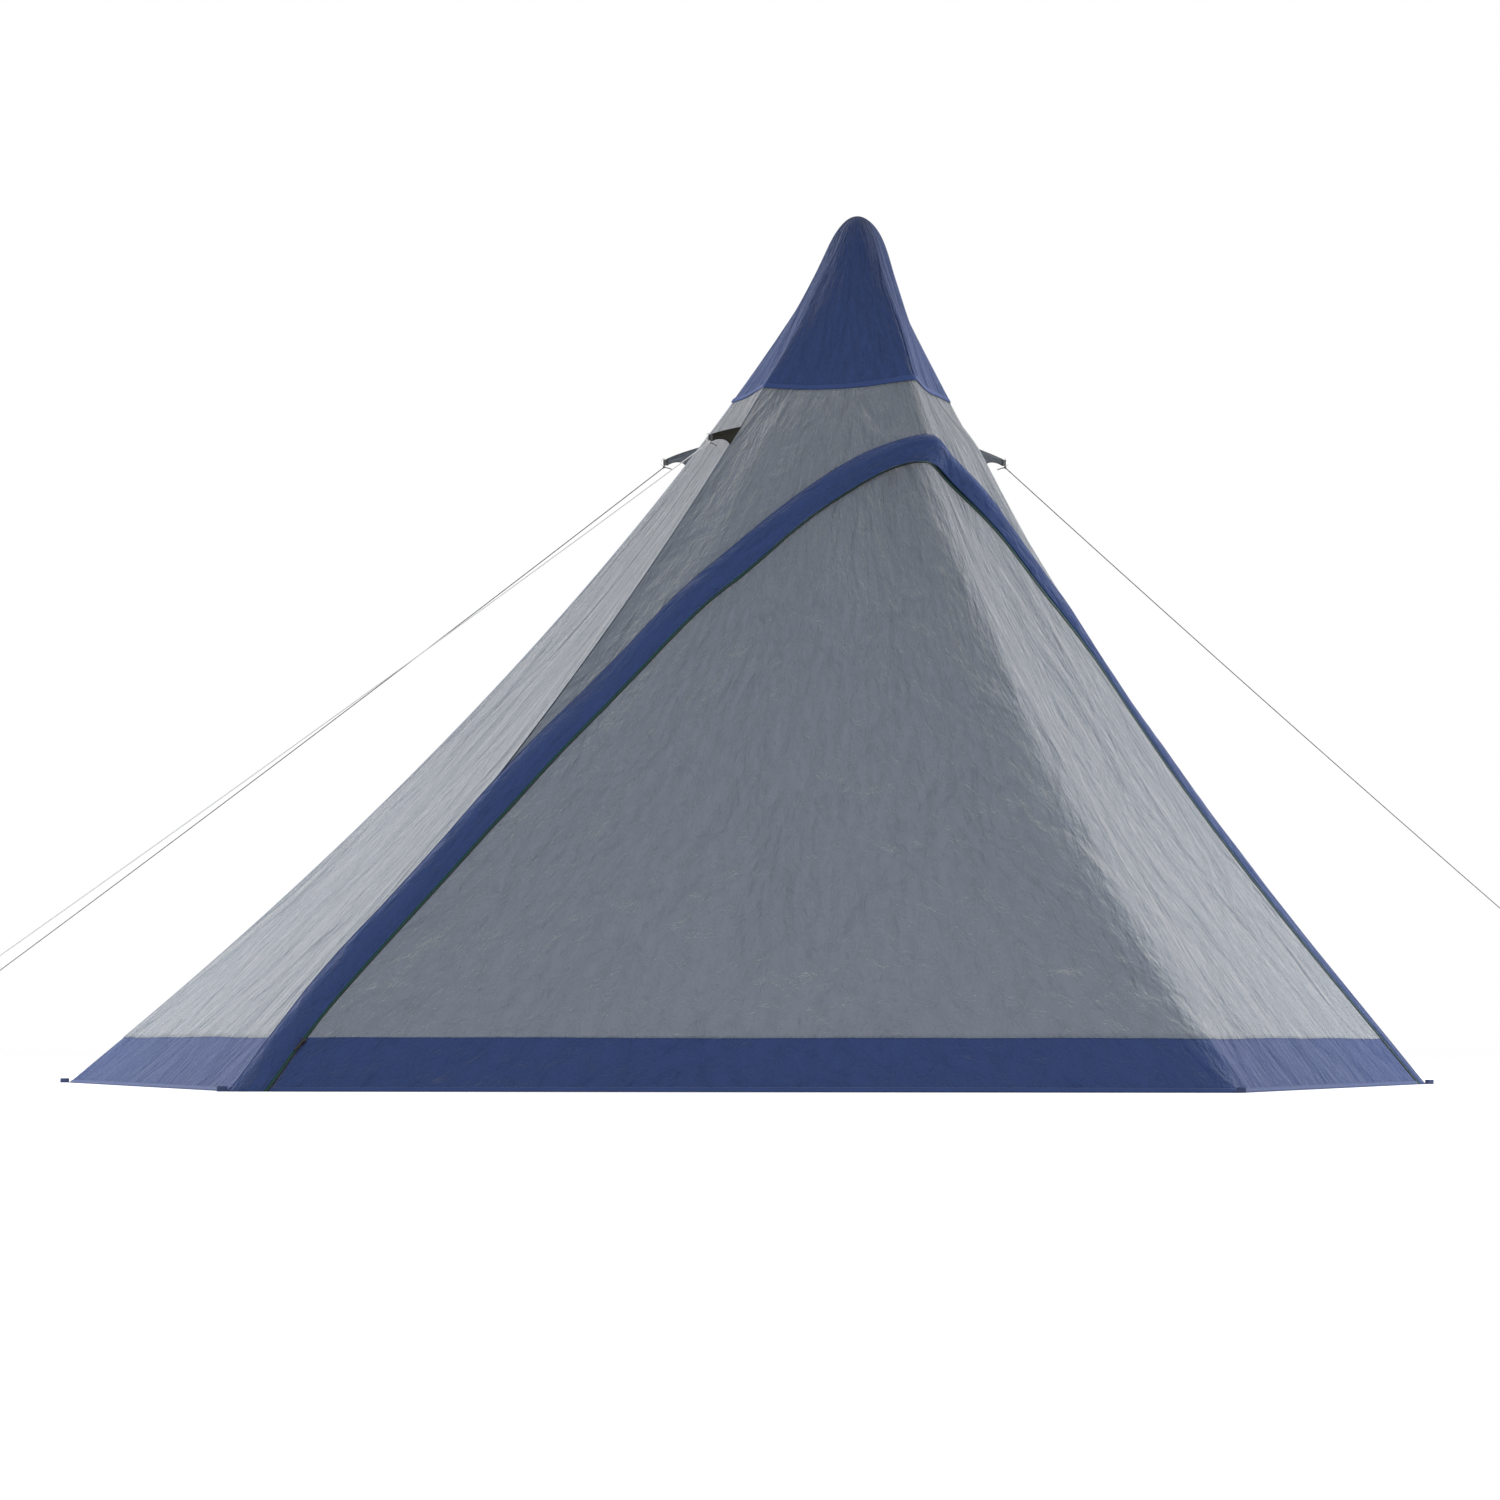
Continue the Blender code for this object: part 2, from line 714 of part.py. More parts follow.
def guy_webbing(corner, parent, material):
    ring = ring_place(corner)
    offset = RING_BAR_INSET - WEBBING_LENGTH / 2
    block = rounded_box((WEBBING_LENGTH, WEBBING_THICKNESS, WEBBING_HEIGHT))
    bmesh.ops.translate(block, verts=block.verts, vec=(offset, 0, 0))
    piece = add_piece("guy_webbing_" + corner, block, material, parent, ring)
    bore = round_bar(RING_WIRE_RADIUS + 2 * CLEARANCE, WEBBING_HEIGHT + CUT_OVERRUN)
    add_cutter("ring_bore_" + corner, bore, piece)
    return piece


def guy_ring(corner, parent, material):
    half = RING_HEIGHT / 2 - RING_WIRE_RADIUS
    depth = RING_DEPTH - RING_WIRE_RADIUS
    corner_radius = 2 * RING_WIRE_RADIUS
    upper = [(0, half - corner_radius)]
    for angle in (math.pi / 4, math.pi / 2):
        rise = corner_radius * math.sin(angle)
        upper.append((corner_radius * (1 - math.cos(angle)), half - corner_radius + rise))
    bow = []
    bow_steps = 8
    for step in range(1, bow_steps):
        angle = math.pi * (0.5 - step / bow_steps)
        bow.append((corner_radius + (depth - corner_radius) * math.cos(angle), half * math.sin(angle)))
    control = upper + bow + [(x, -z) for x, z in reversed(upper)]
    curve = bpy.data.curves.new("guy_ring_" + corner, "CURVE")
    curve.dimensions = "3D"
    curve.bevel_depth = RING_WIRE_RADIUS
    curve.bevel_resolution = 1
    spline = curve.splines.new("POLY")
    spline.points.add(len(control) - 1)
    for point, (x, z) in zip(spline.points, control):
        point.co = (x, 0, z, 1)
    spline.use_cyclic_u = True
    curve.materials.append(material)
    ring = bpy.data.objects.new("guy_ring_" + corner, curve)
    bpy.context.collection.objects.link(ring)
    ring.parent = parent
    ring.location = ring_place(corner)
    return ring


# A guyline lies in the upright plane of its ridge. Its own axes run along the taut line and square to it.

def line_frame(corner):
    slope = GUYLINES[corner]["slope"]
    ring = ring_place(corner)
    start = ring + Vector((2 * CORD_RADIUS, 0, -RING_HEIGHT / 2 - CORD_RADIUS - CLEARANCE))
    along = Vector((1, 0, -slope)).normalized()
    below = Vector((-slope, 0, -1)).normalized()
    runner_start = (GUYLINES[corner]["runner_reach"] - start.x) / along.x
    return start, along, below, runner_start


def guyline(corner, parent, material):
    start, along, below, runner_start = line_frame(corner)
    route = []
    for step in range(LINE_STEPS + 1):
        t = step / LINE_STEPS
        route.append((runner_start * t, CORD_SAG * 4 * t * (1 - t)))
    straight = runner_start + RUNNER_LENGTH
    eye_start = straight + RUNNER_TRAVEL
    eye_centre = straight + LOOP_LENGTH - LOOP_RADIUS
    route += [(straight, 0), (eye_start, 0)]
    middle = LINE_SPACING / 2
    loop_steps = 12
    ease_steps = 4
    for step in range(1, ease_steps):
        t = step / ease_steps
        ease = t * t * (3 - 2 * t)
        route.append((eye_start + (eye_centre - eye_start) * t, -(LOOP_RADIUS - middle) * ease))
    for step in range(loop_steps + 1):
        angle = math.pi * (-0.5 + step / loop_steps)
        route.append((eye_centre + LOOP_RADIUS * math.cos(angle), middle + LOOP_RADIUS * math.sin(angle)))
    for step in range(ease_steps - 1, 0, -1):
        t = step / ease_steps
        ease = t * t * (3 - 2 * t)
        route.append((eye_start + (eye_centre - eye_start) * t, LINE_SPACING + (LOOP_RADIUS - middle) * ease))
    route += [(eye_start, LINE_SPACING), (straight, LINE_SPACING)]
    knot_end = runner_start - 2 * CLEARANCE - KNOT_LENGTH
    knot = [
        (runner_start, 1),
        (runner_start - 2 * CLEARANCE, 1),
        (runner_start - KNOT_LENGTH * 0.25, KNOT_RADIUS / CORD_RADIUS),
        (runner_start - KNOT_LENGTH * 0.75, KNOT_RADIUS / CORD_RADIUS),
        (knot_end, 1),
    ]
    curve = bpy.data.curves.new("guyline_" + corner, "CURVE")
    curve.dimensions = "3D"
    curve.bevel_depth = CORD_RADIUS
    curve.bevel_resolution = 2
    curve.use_fill_caps = True
    spline = curve.splines.new("POLY")
    spline.points.add(len(route) + len(knot) - 1)
    places = [(x, down, 1) for x, down in route] + [(x, LINE_SPACING, swell) for x, swell in knot]
    for point, (x, down, swell) in zip(spline.points, places):
        place = start + along * x + below * down
        point.co = (*place, 1)
        point.radius = swell
    curve.materials.append(material)
    line = bpy.data.objects.new("guyline_" + corner, curve)
    bpy.context.collection.objects.link(line)
    line.parent = parent
    return line


def runner(corner, parent, material):
    start, along, below, runner_start = line_frame(corner)
    centre = start + along * (runner_start + RUNNER_LENGTH / 2) + below * (LINE_SPACING / 2)
    tilt = math.atan(GUYLINES[corner]["slope"])
    block = rounded_box((RUNNER_LENGTH, RUNNER_THICKNESS, RUNNER_HEIGHT))
    piece = add_piece("runner_" + corner, block, material, parent, centre, (0, tilt, 0))
    for side, name in ((1, "line_bore_"), (-1, "loop_bore_")):
        bore = round_bar(CORD_RADIUS + CORD_BORE_CLEARANCE, RUNNER_LENGTH + CUT_OVERRUN)
        bmesh.ops.rotate(bore, verts=bore.verts, cent=(0, 0, 0), matrix=Matrix.Rotation(math.pi / 2, 3, "Y"))
        bmesh.ops.translate(bore, verts=bore.verts, vec=(0, 0, side * LINE_SPACING / 2))
        add_cutter(name + corner, bore, piece)
    return piece


def peg_loop(corner, parent, material, seat):
    bm = bmesh.new()
    half = PEG_LOOP_WIDTH / 2
    turn_steps = 6
    rings = []
    for inset in (0, PEG_LOOP_WALL):
        radius = half - inset
        outline = []
        for centre, first in ((PEG_LOOP_LENGTH - half, -0.5), (half, 0.5)):
            for step in range(turn_steps + 1):
                angle = math.pi * (first + step / turn_steps)
                outline.append((centre + radius * math.cos(angle), radius * math.sin(angle)))
        rings.append([bm.verts.new((x, y, 0)) for x, y in outline])
    edges = []
    for ring in rings:
        edges += [bm.edges.new((ring[index], ring[(index + 1) % len(ring)])) for index in range(len(ring))]
    bmesh.ops.bridge_loops(bm, edges=edges)
    extruded = bmesh.ops.extrude_face_region(bm, geom=bm.faces[:], use_keep_orig=True)
    raised = [item for item in extruded["geom"] if isinstance(item, bmesh.types.BMVert)]
    bmesh.ops.translate(bm, verts=raised, vec=(0, 0, PEG_LOOP_HEIGHT))
    direction = math.atan2(OUTWARD[corner].y, OUTWARD[corner].x)
    place = seat + OUTWARD[corner] * CLEARANCE
    return add_piece("peg_loop_" + corner, bm, material, parent, place, (0, 0, direction))


# Zip slider on the left leg of the arch

def slider_frame():
    line = arch_line(BAND_WIDTH + ZIP_WIDTH + SLIDER_SHIFT)

    def at(z):
        return front_point(z, share_at(line, z, -1), False)

    low = at(SLIDER_PLACE)
    high = at(SLIDER_TOP)
    along = (high - low).normalized()
    across = (front_point(SLIDER_PLACE, 0, False) - low).normalized()
    outward = across.cross(along).normalized()
    if outward.dot(low) < 0:
        outward = -outward
    across = along.cross(outward)
    lift = 2 * CLEARANCE + SLIDER_THICKNESS / 2
    place = low + outward * lift
    return Matrix((
        (across.x, along.x, outward.x, place.x),
        (across.y, along.y, outward.y, place.y),
        (across.z, along.z, outward.z, place.z),
        (0, 0, 0, 1),
    ))


def zip_slider(parent, material):
    frame = slider_frame()
    body = rounded_box((SLIDER_WIDTH, SLIDER_LENGTH, SLIDER_THICKNESS))
    ear_size = (SLIDER_EAR_WIDTH, SLIDER_EAR_HEIGHT, SLIDER_EAR_HEIGHT)
    ear_x = PULL_WIDTH / 2 + CLEARANCE + SLIDER_EAR_WIDTH / 2
    ear_z = SLIDER_THICKNESS * (0.5 - EDGE_ROUND_SHARE) + SLIDER_EAR_HEIGHT / 2
    ears = [box(ear_size, (side * ear_x, 0, ear_z)) for side in (-1, 1)]
    piece = add_piece("zip_slider", body, material, parent)
    piece.matrix_local = frame
    for index, ear in enumerate(ears):
        join = add_piece("slider_ear_" + str(index), ear, material, piece)
        join.hide_render = True
        join.display_type = "WIRE"
        union = piece.modifiers.new("ear", "BOOLEAN")
        union.operation = "UNION"
        union.solver = "EXACT"
        union.object = join
    return piece


def pull_tab(parent, material):
    frame = slider_frame()
    pivot = Vector((0, 0, SLIDER_THICKNESS / 2 + SLIDER_EAR_HEIGHT / 2))
    bm = rounded_box((PULL_WIDTH, PULL_LENGTH, PULL_THICKNESS))
    bmesh.ops.translate(bm, verts=bm.verts, vec=(0, PULL_THICKNESS - PULL_LENGTH / 2, 0))
    piece = add_piece("zip_pull", bm, material, parent)
    piece.matrix_local = frame @ Matrix.Translation(pivot)
    return piece


def main():
    clear_scene()
    grey_cloth = make_material("grey_cloth")
    blue_cloth = make_material("blue_cloth")
    zip_tape = make_material("zip_tape")
    tab_cloth = make_material("tab_cloth")
    webbing = make_material("webbing")
    steel = make_material("steel_wire")
    cord = make_material("cord")
    tube = make_material("pole_tube")
    plastic = make_material("black_plastic")

    loop_span = PEG_LOOP_LENGTH + CLEARANCE
    front_end = front_point(0, 0, False).y - loop_span
    back_end = FLOOR["back_left"].y + OUTWARD["back_left"].y * loop_span
    tent = make_empty("tent", (0, -(front_end + back_end) / 2, 0))
    door_axis = make_empty("door_axis", FLOOR["front_right"], tent)
    door = make_empty("door", -FLOOR["front_right"], door_axis)

    make_pole(tent, tube, plastic)
    canopy_cap(blue_cloth, tent)
    low = SKIRT_HEIGHT + CLEARANCE
    high = CAP_RIM_HEIGHT - CLEARANCE
    faces = (
        ("left", "back_left", "front_left"),
        ("back", "back_right", "back_left"),
        ("right", "front_right", "back_right"),
    )
    for name, second, first in faces:
        side_panel(name + "_panel", grey_cloth, tent, second, first, low, high, PANEL_ROWS)
        side_panel(name + "_skirt", blue_cloth, tent, second, first, 0, SKIRT_HEIGHT, 2)
    front_panel(grey_cloth, tent)

    band_line = arch_line(BAND_WIDTH)
    facing_line = held_inside(arch_line(FACING_INSET))
    zip_line = arch_line(BAND_WIDTH + ZIP_WIDTH)
    tape_start = arch_line(BAND_WIDTH + ZIP_WIDTH + CLEARANCE)
    tape_end = arch_line(BAND_WIDTH + 2 * ZIP_WIDTH + CLEARANCE)
    band_lift = CLOTH_THICKNESS + BAND_STAND
    arch_strip("arch_band", blue_cloth, tent, OUTLINE, band_line, 2, band_lift, 1, 1)
    arch_strip("zip_facing", zip_tape, tent, facing_line, zip_line, 2, 0, 1, 0)
    arch_strip("door_zip_tape", zip_tape, door, tape_start, tape_end, 1, 0, 0, 0)
    door_cloth(grey_cloth, door)
    door_skirt(blue_cloth, door)

    for corner in CORNERS[1:]:
        frame = make_empty("guy_frame_" + corner, (0, 0, 0), tent)
        frame.matrix_local = guy_frame(corner)
        guy_tab(corner, frame, tab_cloth)
        guy_webbing(corner, frame, webbing)
        guy_ring(corner, frame, steel)
        if corner in GUYLINES:
            guyline(corner, frame, cord)
            runner(corner, frame, plastic)

    for corner in CORNERS:
        seat = FLOOR[corner]
        if corner == "front":
            seat = front_point(0, 0, False)
        if corner in ("front_left", "front_right"):
            seat = lifted(seat, band_lift)
        peg_loop(corner, door if corner == "front" else tent, webbing, seat)

    zip_slider(tent, steel)
    pull_tab(tent, steel)


main()
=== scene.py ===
import math

import bmesh
import bpy
from mathutils import Matrix, Vector, noise


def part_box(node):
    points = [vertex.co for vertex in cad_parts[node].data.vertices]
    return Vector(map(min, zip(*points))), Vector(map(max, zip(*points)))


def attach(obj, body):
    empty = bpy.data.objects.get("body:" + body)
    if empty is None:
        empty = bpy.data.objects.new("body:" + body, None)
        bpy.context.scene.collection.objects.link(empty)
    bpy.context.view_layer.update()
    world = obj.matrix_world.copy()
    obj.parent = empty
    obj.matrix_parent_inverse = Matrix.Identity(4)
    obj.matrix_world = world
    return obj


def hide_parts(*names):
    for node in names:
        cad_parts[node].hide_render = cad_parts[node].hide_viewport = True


# Pyramid tent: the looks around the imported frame. Places are measured from the foot of the pole,
# x to the right of the door and y towards the back, and are carried to the frame as each piece is made.

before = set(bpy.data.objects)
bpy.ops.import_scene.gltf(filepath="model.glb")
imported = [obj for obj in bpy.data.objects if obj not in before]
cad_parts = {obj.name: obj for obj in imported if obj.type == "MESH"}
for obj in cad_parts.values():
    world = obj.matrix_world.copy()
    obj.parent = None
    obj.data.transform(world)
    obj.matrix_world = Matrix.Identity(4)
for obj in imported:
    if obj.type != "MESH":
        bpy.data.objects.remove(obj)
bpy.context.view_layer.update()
footLow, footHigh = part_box("pole_foot")
poleFoot = Vector(((footLow.x + footHigh.x) / 2, (footLow.y + footHigh.y) / 2, 0))
upright = Vector((0, 0, 1))
print("frame loaded,", len(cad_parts), "nodes")

# form of the canopy

canopy = {
    "height": 2.14,
    "floorRadius": 1.88,
    "poleOffset": 0.498,
    "frontPull": 0.045,
    "skirtHeight": 0.124,
    "capRim": 1.70,
    "underCap": 0.03,
    "faceHollow": 0.02,
    "ridgeSag": {
        "front": 0.165, "frontRight": 0.146, "backRight": 0.205, "backLeft": 0.205, "frontLeft": 0.128,
    },
    "hoodRise": 0.055,
    "hoodStart": 0.45,
    "hoodFull": 0.72,
    "hoodEnd": 0.82,
    "shoulderBulge": 0.033,
    "shoulderWidths": (0.2, 0.6, 0.8, 1.0),
    "shoulderHeights": (0.15, 0.5, 0.73, 0.8),
    "foldShare": 0.02,
    "foldBulgeShare": 0.08,
    "apexRadius": 0.065,
    "apexDrop": 0.127,
    "roundDrop": 0.42,
    "blendPower": 3.2,
}
corners = ["front", "frontRight", "backRight", "backLeft", "frontLeft"]
insidePoint = Vector((0, 0.25, 0.5))


def floorCorner(corner):
    angle = math.radians(-90 + 72 * corners.index(corner))
    x = canopy["floorRadius"] * math.cos(angle)
    y = canopy["poleOffset"] + canopy["floorRadius"] * math.sin(angle)
    return Vector((x, y - canopy["frontPull"] if corner == "front" else y, 0))


floorPoint = {corner: floorCorner(corner) for corner in corners}
outward = {corner: floorPoint[corner].normalized() for corner in corners}
apexBase = canopy["height"] - canopy["apexDrop"]


def smoothStep(low, high, value):
    share = min(1, max(0, (value - low) / (high - low)))
    return share * share * (3 - 2 * share)


def evenShares(count):
    return [step / count for step in range(count + 1)]


def bow(share):
    return 4 * share * (1 - share)


def riseAndFall(shares, value):
    start, full, fade, end = shares
    return smoothStep(start, full, value) * (1 - smoothStep(fade, end, value))


def ridgeRadius(corner, z):
    share = z / canopy["height"]
    cone = floorPoint[corner].length * (1 - share) - canopy["ridgeSag"][corner] * bow(share)
    rise = max(0, z - apexBase) / canopy["apexDrop"]
    dome = canopy["apexRadius"] * math.sqrt(max(0, 1 - rise * rise))
    power = canopy["blendPower"]
    return (max(0, cone) ** power + dome ** power) ** (1 / power)


def hoodRadius(z, hood):
    shares = (canopy["hoodStart"], canopy["hoodFull"], canopy["hoodEnd"], 1)
    return ridgeRadius("front", z) + canopy["hoodRise"] * riseAndFall(shares, z / canopy["height"]) * hood


def roundedPoint(point, radius, z):
    weight = smoothStep(canopy["height"] - canopy["roundDrop"], canopy["height"], z)
    reach = math.hypot(point.x, point.y)
    scale = 1 + weight * (radius / reach - 1) if reach > 0.00001 else 1
    return Vector((point.x * scale, point.y * scale, z))


def heightBow(z):
    return bow(min(1, max(0, z / canopy["height"])))


def hollow(share, z):
    return canopy["faceHollow"] * bow(share) * heightBow(z)


def shoulder(share, z):
    height = riseAndFall(canopy["shoulderHeights"], z / canopy["height"])
    return canopy["shoulderBulge"] * riseAndFall(canopy["shoulderWidths"], share) * height


def sidePoint(first, second, z, share):
    firstRadius = ridgeRadius(first, z)
    secondRadius = ridgeRadius(second, z)
    start = outward[first] * firstRadius
    end = outward[second] * secondRadius
    away = (end - start).cross(upright).normalized()
    point = start.lerp(end, share) - away * hollow(share, z)
    return roundedPoint(point, firstRadius + (secondRadius - firstRadius) * share, z)


def frontPoint(z, share, hood=1.0):
    side = "frontLeft" if share < 0 else "frontRight"
    widthShare = abs(share)
    fold = canopy["foldShare"] + canopy["foldBulgeShare"] * heightBow(z)
    depthShare = widthShare + fold / 2 * math.exp(-2 * widthShare / fold)
    sideRadius = ridgeRadius(side, z)
    frontRadius = hoodRadius(z, hood)
    end = outward[side] * sideRadius
    point = Vector((end.x * widthShare, (end.y + frontRadius) * depthShare - frontRadius, 0))
    across = Vector((end.x, end.y + frontRadius, 0)).normalized()
    away = Vector((across.y, -across.x, 0)) * (-1 if share < 0 else 1)
    point += away * (shoulder(widthShare, z) - hollow(min(1, widthShare), z))
    return roundedPoint(point, frontRadius + (sideRadius - frontRadius) * widthShare, z)


def facingOut(first, second, point, middle=insidePoint):
    away = first.cross(second).normalized()
    return -away if away.dot(point - middle) < 0 else away


def lengthsAlong(points):
    lengths = [0.0]
    for first, second in zip(points, points[1:]):
        lengths.append(lengths[-1] + (second - first).length)
    return lengths


# arch over the door, as lines of (height, share of the face's width from the front ridge)

arch = {
    "height": 1.568,
    "outlineShares": (
        (-0.100, 1.000), (0.000, 0.999), (0.080, 1.009), (0.150, 1.015), (0.225, 1.015), (0.320, 1.010),
        (0.418, 1.001), (0.517, 0.984), (0.609, 0.946), (0.705, 0.893), (0.767, 0.840), (0.823, 0.762),
        (0.879, 0.661), (0.929, 0.522), (0.970, 0.340), (0.994, 0.135), (1.000, 0.000),
    ),
    "fineSteps": 1200,
    "steps": 360,
    "probe": 0.002,
    "lowest": -0.11,
}


def curvePoint(points, share):
    place = share * (len(points) - 1)
    index = min(int(place), len(points) - 2)
    t = place - index
    near = [points[max(0, min(len(points) - 1, index + step))] for step in (-1, 0, 1, 2)]
    return tuple(
        0.5 * (2 * b + (c - a) * t + (2 * a - 5 * b + 4 * c - d) * t ** 2 + (3 * b - a - 3 * c + d) * t ** 3)
        for a, b, c, d in zip(*near)
    )


def evenLine(line, steps):
    lengths = lengthsAlong([frontPoint(z, share) for z, share in line])
    result = []
    index = 0
    for step in range(steps + 1):
        target = lengths[-1] * step / steps
        while index < len(line) - 2 and lengths[index + 1] < target:
            index += 1
        t = (target - lengths[index]) / (lengths[index + 1] - lengths[index])
        result.append(tuple(a + (b - a) * t for a, b in zip(line[index], line[index + 1])))
    return result


def makeOutline():
    left = [(arch["height"] * height, -width) for height, width in arch["outlineShares"]]
    control = left + [(height, -width) for height, width in reversed(left[:-1])]
    return evenLine([curvePoint(control, share) for share in evenShares(arch["fineSteps"])], arch["steps"])


outline = makeOutline()


def archFrame(index):
    z, share = outline[index]
    before = outline[max(0, index - 1)]
    after = outline[min(len(outline) - 1, index + 1)]
    probe = arch["probe"]
    alongZ = (frontPoint(z + probe, share) - frontPoint(z - probe, share)) / (2 * probe)
    alongShare = (frontPoint(z, share + probe) - frontPoint(z, share - probe)) / (2 * probe)
    tangent = (frontPoint(*after) - frontPoint(*before)).normalized()
    point = frontPoint(z, share)
    normal = facingOut(alongShare, alongZ, point, Vector())
    return point, tangent.cross(normal).normalized(), normal, alongZ, alongShare


archFrames = [archFrame(index) for index in range(len(outline))]
archStart = next(index for index, (z, share) in enumerate(outline) if z > arch["lowest"])
archSpots = range(archStart, len(outline) - archStart)
archRuns = lengthsAlong([archFrames[spot][0] for spot in archSpots])


def archLine(inset):
    line = []
    for (z, share), (place, inward, normal, alongZ, alongShare) in zip(outline, archFrames):
        step = inward * inset
        aa = alongZ.dot(alongZ)
        ab = alongZ.dot(alongShare)
        bb = alongShare.dot(alongShare)
        ra = step.dot(alongZ)
        rb = step.dot(alongShare)
        spread = aa * bb - ab * ab
        line.append((z + (ra * bb - rb * ab) / spread, share + (rb * aa - ra * ab) / spread))
    return line


def lineAbove(line, low):
    above = [index for index, point in enumerate(line) if point[0] > low]
    result = line[above[0]:above[-1] + 1]
    for outer, inner, place in ((above[0] - 1, above[0], 0), (above[-1] + 1, above[-1], len(result) + 1)):
        t = (low - line[outer][0]) / (line[inner][0] - line[outer][0])
        result.insert(place, (low, line[outer][1] + (line[inner][1] - line[outer][1]) * t))
    return result


print("canopy form ready, arch length %.3f m" % archRuns[-1])

# shader nodes and groups


def fill(tree, node, inputs):
    for name, value in inputs.items():
        socket = node.inputs[name]
        if isinstance(value, bpy.types.NodeSocket):
            tree.links.new(value, socket)
        else:
            socket.default_value = (*value, 1.0) if socket.type == "RGBA" else value


def makeNode(tree, kind, inputs, **settings):
    node = tree.nodes.new("ShaderNode" + kind)
    for name, value in settings.items():
        setattr(node, name, value)
    fill(tree, node, inputs)
    return node.outputs


def mathNode(tree, operation, *values):
    return makeNode(tree, "Math", dict(enumerate(values)), operation=operation)[0]


def times(tree, first, second):
    return mathNode(tree, "MULTIPLY", first, second)


def ridges(tree, value, factor):
    return mathNode(tree, "ABSOLUTE", mathNode(tree, "SINE", times(tree, value, factor)))


def stretched(tree, vector, scale):
    return makeNode(tree, "Mapping", {"Vector": vector, "Scale": scale})["Vector"]


def splitVector(tree, vector):
    return makeNode(tree, "SeparateXYZ", {0: vector})


def uvOutput(tree):
    return makeNode(tree, "UVMap", {}, uv_map="clothUV")["UV"]


def mixColours(tree, factor, first, second):
    return makeNode(tree, "Mix", {"Factor": factor, "A": first, "B": second}, data_type="RGBA")["Result"]


def bumpNode(tree, height, strength, distance, **before):
    inputs = {"Strength": strength, "Distance": distance, "Height": height, **before}
    return makeNode(tree, "Bump", inputs)["Normal"]


def shaded(colour, factor):
    return tuple(min(1.0, part * factor) for part in colour)


def newGroup(name, inputs, outputs):
    group = bpy.data.node_groups.new(name, "ShaderNodeTree")

    def addSocket(label, way, kind="Float"):
        return group.interface.new_socket(name=label, in_out=way, socket_type="NodeSocket" + kind)

    addSocket("Vector", "INPUT", "Vector")
    for label, value in inputs.items():
        addSocket(label, "INPUT").default_value = value
    for label in outputs:
        addSocket(label, "OUTPUT")
    return group, group.nodes.new("NodeGroupInput").outputs, group.nodes.new("NodeGroupOutput")


creaseSizes = {
    # stretch along the face, scale, detail, roughness and distortion of the noise
    "broad": (0.6, 5.0, 3.0, 0.55, 0.6),
    "middle": (0.42, 38.0, 5.0, 0.68, 0.5),
    "fine": (0.4, 130.0, 3.0, 0.6, 0.3),
}


def creaseGroup():
    # soft creases of many sizes, as large as a hand and as small as a few yarns; Tone rises with their
    # height, so the colour it sets is painted shade, darker in the hollows and lighter on the tops
    group, start, end = newGroup("clothCreases", {}, ("Tone", "Height"))
    layers = {}
    for name, (stretch, scale, detail, roughness, distortion) in creaseSizes.items():
        layers[name] = makeNode(group, "TexNoise", {
            "Vector": stretched(group, start["Vector"], (1.0, stretch, 1.0)),
            "Scale": scale, "Detail": detail, "Roughness": roughness, "Distortion": distortion,
        })["Fac"]
    small = mathNode(group, "MULTIPLY_ADD", layers["fine"], 0.25, layers["middle"])
    fill(group, end, {
        "Tone": mathNode(group, "MULTIPLY_ADD", layers["broad"], 0.6, times(group, layers["middle"], 0.4)),
        "Height": mathNode(group, "MULTIPLY_ADD", layers["broad"], 5.0, small),
    })
    return group


def weaveGroup():
    # plain weave, its yarns' width in metres; Mask is high in the gaps between the yarns, where it is used
    # for painted shade
    group, start, end = newGroup("plainWeave", {"Yarn": 0.0011}, ("Height", "Mask"))
    split = splitVector(group, start["Vector"])
    turns = mathNode(group, "DIVIDE", math.pi, start["Yarn"])
    height = times(group, ridges(group, split["X"], turns), ridges(group, split["Y"], turns))
    fill(group, end, {"Height": height, "Mask": mathNode(group, "SUBTRACT", 1.0, height)})
    return group


def stitchGroup():
    # a running row of stitches: x is the distance across in metres, y the distance along the row
    group, start, end = newGroup("stitchRow", {"Offset": 0.002, "Pitch": 0.0036, "Thread": 0.0005}, ("Mask",))
    split = splitVector(group, start["Vector"])
    away = mathNode(group, "ABSOLUTE", mathNode(group, "SUBTRACT", split["X"], start["Offset"]))
    inRow = mathNode(group, "LESS_THAN", away, start["Thread"])
    step = mathNode(group, "FRACT", mathNode(group, "DIVIDE", split["Y"], start["Pitch"]))
    fill(group, end, {"Mask": times(group, inRow, mathNode(group, "LESS_THAN", step, 0.68))})
    return group


def grainGroup():
    # soft unevenness of moulded, drawn or dusty surfaces
    group, start, end = newGroup("surfaceGrain", {"Scale": 200.0}, ("Tone", "Height"))
    small = {"Vector": start["Vector"], "Scale": start["Scale"], "Detail": 4.0}
    large = {"Vector": start["Vector"], "Scale": times(group, start["Scale"], 0.12)}
    fill(group, end, {
        "Tone": makeNode(group, "TexNoise", large)["Fac"],
        "Height": makeNode(group, "TexNoise", small)["Fac"],
    })
    return group


groups = {"creases": creaseGroup(), "weave": weaveGroup(), "stitch": stitchGroup(), "grain": grainGroup()}


def placeGroup(tree, name, vector, **values):
    return makeNode(tree, "Group", {"Vector": vector, **values}, node_tree=groups[name])


# materials

